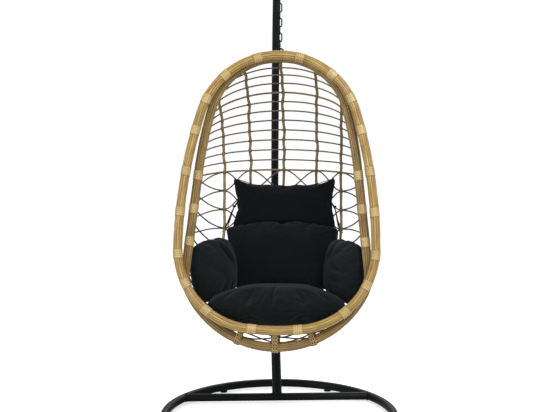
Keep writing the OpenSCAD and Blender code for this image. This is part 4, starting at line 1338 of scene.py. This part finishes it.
@dataclass
class Studio:
    """A white floor, a white surround, soft lights and the camera."""

    place: tuple = (-0.1487, -3.6736, 1.15)
    tilt: float = 4.82
    pan: float = -0.036
    lens: float = 62.25
    ambient: float = 0.5
    floor_glow: float = 0.62

    def build_camera(self) -> None:
        """Creates the camera."""
        camera = bpy.data.objects.new("camera", bpy.data.cameras.new("camera"))
        camera.location = self.place
        camera.rotation_euler = (math.radians(90 - self.tilt), 0.0, self.pan)
        camera.data.lens = self.lens
        camera.data.sensor_width = 36.0
        bpy.context.scene.collection.objects.link(camera)
        bpy.context.scene.camera = camera

    def _area(self, name: str, place: tuple, target: tuple, size: float, power: float) -> None:
        """Adds a square soft light aimed at a point."""
        light = bpy.data.lights.new(name, "AREA")
        light.size = size
        light.energy = power
        obj = bpy.data.objects.new(name, light)
        obj.location = place
        obj.rotation_euler = (Vector(target) - Vector(place)).to_track_quat("-Z", "Y").to_euler()
        bpy.context.scene.collection.objects.link(obj)

    def build_lights(self) -> None:
        """Adds a high key light from the front right, a weaker fill and a light from behind."""
        self._area("key", (1.6, -3.2, 4.2), (0, 0, 0.8), 1.6, 125.0)
        self._area("fill", (-3.0, -2.6, 2.2), (0, 0, 0.9), 2.4, 55.0)
        self._area("back", (0.6, 3.2, 2.8), (0, 0, 0.9), 2.0, 40.0)

    def build_surround(self) -> None:
        """Makes the world white to the camera and softly grey as a light, and lays the floor."""
        world = bpy.data.worlds.new("surround")
        bpy.context.scene.world = world
        world.use_nodes = True
        tree = world.node_tree
        tree.nodes.clear()
        out = tree.nodes.new("ShaderNodeOutputWorld")
        mix = tree.nodes.new("ShaderNodeMixShader")
        ray = tree.nodes.new("ShaderNodeLightPath")
        for index, strength in ((1, self.ambient), (2, 1.0)):
            sky = tree.nodes.new("ShaderNodeBackground")
            sky.inputs["Color"].default_value = (1.0, 1.0, 1.0, 1.0)
            sky.inputs["Strength"].default_value = strength
            tree.links.new(sky.outputs[0], mix.inputs[index])
        tree.links.new(ray.outputs["Is Camera Ray"], mix.inputs[0])
        tree.links.new(mix.outputs[0], out.inputs[0])
        mesh = bpy.data.meshes.new("floor")
        mesh.from_pydata([(-30, -30, 0), (30, -30, 0), (30, 30, 0), (-30, 30, 0)], [], [(0, 1, 2, 3)])
        floor = bpy.data.objects.new("floor", mesh)
        bpy.context.scene.collection.objects.link(floor)
        n = Nodes("floor_paint")
        n.shader.inputs["Base Color"].default_value = (0.85, 0.85, 0.85, 1.0)
        n.shader.inputs["Roughness"].default_value = 0.9
        n.shader.inputs["Specular IOR Level"].default_value = 0.1
        n.shader.inputs["Emission Color"].default_value = (1.0, 1.0, 1.0, 1.0)
        ray = n.add("ShaderNodeLightPath")
        glow = n.add("ShaderNodeMath", operation="MULTIPLY")
        glow.inputs[1].default_value = self.floor_glow
        n.link(ray.outputs["Is Camera Ray"], glow.inputs[0])
        n.link(glow.outputs[0], n.shader.inputs["Emission Strength"])
        mesh.materials.append(n.material)

    def build(self) -> None:
        """Sets plain colours and builds the lights and the surround."""
        scene = bpy.context.scene
        scene.view_settings.view_transform = "Standard"
        self.build_lights()
        self.build_surround()


# ---------------------------------------------------------------- the whole scene


@dataclass
class Palette:
    """Every finish, made once."""

    cane: bpy.types.Material
    # a darker copy of the cane for the rear rim: painted shade
    rear_cane: bpy.types.Material
    wire: bpy.types.Material
    strand: bpy.types.Material
    band: bpy.types.Material
    wrapped: bpy.types.Material
    strip: bpy.types.Material
    cord: bpy.types.Material
    steel: bpy.types.Material
    zinc: bpy.types.Material
    rubber: bpy.types.Material
    plastic: bpy.types.Material
    cloth: bpy.types.Material

    @classmethod
    def mixed(cls) -> "Palette":
        """Makes the finishes."""
        honey = ((0.12, 0.058, 0.01), (0.44, 0.275, 0.073), (0.67, 0.475, 0.17))
        # painted shade: a darker copy of the honey cane for the rear rim, which sits in shade
        shaded_honey = ((0.09, 0.042, 0.009), (0.27, 0.17, 0.047), (0.38, 0.26, 0.09))
        pale = ((0.17, 0.09, 0.02), (0.54, 0.385, 0.14), (0.69, 0.53, 0.23))
        brown = ((0.035, 0.018, 0.006), (0.28, 0.175, 0.062), (0.43, 0.29, 0.12))
        tawny = ((0.05, 0.027, 0.008), (0.4, 0.265, 0.095), (0.56, 0.4, 0.165))
        umber = ((0.08, 0.05, 0.02), (0.28, 0.19, 0.09), (0.42, 0.3, 0.16))
        olive = ((0.032, 0.024, 0.01), (0.12, 0.09, 0.043), (0.22, 0.17, 0.09))
        smoke = ((0.035, 0.027, 0.017), (0.12, 0.093, 0.06), (0.23, 0.18, 0.12))
        return cls(
            cane=CaneFinish("honey_cane", *honey).build(),
            rear_cane=CaneFinish("shaded_honey_cane", *shaded_honey).build(),
            wire=CaneFinish("olive_cane", *olive, roughness=0.5).build(),
            strand=CaneFinish("smoked_cane", *smoke, roughness=0.55).build(),
            band=CaneFinish("tan_cane", *brown, roughness=0.45).build(),
            wrapped=CaneFinish("wrapped_cane", *umber, roughness=0.55, wrap_pitch=4.0).build(),
            strip=CaneFinish("pale_cane_strip", *pale, roughness=0.38).build(),
            cord=CaneFinish("tawny_cord", *tawny, roughness=0.6).build(),
            steel=PaintFinish("black_powder_coat", (0.0032, 0.004, 0.0046), 0.45).build(),
            zinc=MetalFinish("bright_zinc", (0.62, 0.62, 0.64)).build(),
            rubber=PaintFinish("matt_rubber", (0.012, 0.012, 0.012), 0.8, 500.0, 0.25).build(),
            plastic=PaintFinish("moulded_plastic", (0.014, 0.014, 0.015), 0.5, 700.0, 0.2).build(),
            cloth=FabricFinish("charcoal_cloth", (0.0062, 0.0086, 0.0098)).build(),
        )


def dress_nodes(frame: dict, palette: Palette) -> None:
    """Gives every CAD solid that stays in sight its finish.

    Args:
        palette: the finishes.
    """
    finishes = {
        palette.steel: ("base_ring_rear", "base_ring_front", "base_ring_joiners", "base_crossbar",
                        "lower_pole", "upper_pole", "arm_eye", "chain", "basket_quick_link", "basket_loop",
                        "top_quick_link"),
        palette.zinc: ("base_ring_screws", "pole_bolt", "swivel_body", "swivel_eye"),
        palette.rubber: ("floor_glides",),
        palette.plastic: ("arm_end_cap",),
        palette.cane: ("front_rim_core", "rear_rim_core"),
    }
    for material, names in finishes.items():
        for name in names:
            node = frame["nodes"][name]
            node.data.materials.clear()
            node.data.materials.append(material)
    LOG.info("CAD solids dressed: %d", sum(len(names) for names in finishes.values()))


def main() -> None:
    """Builds the scene in order."""
    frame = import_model()
    studio = Studio()
    studio.build_camera()
    palette = Palette.mixed()
    dress_nodes(frame, palette)
    Stand().build(palette.steel)
    HangingGear().build(palette.zinc)
    shape = BasketShape()
    Rims(shape).build(palette)
    Shell(shape).build(palette)
    Cushions(shape).build(palette.cloth)
    studio.build()


if __name__ == "__main__":
    logging.basicConfig(level=logging.INFO, format="%(message)s")
    main()
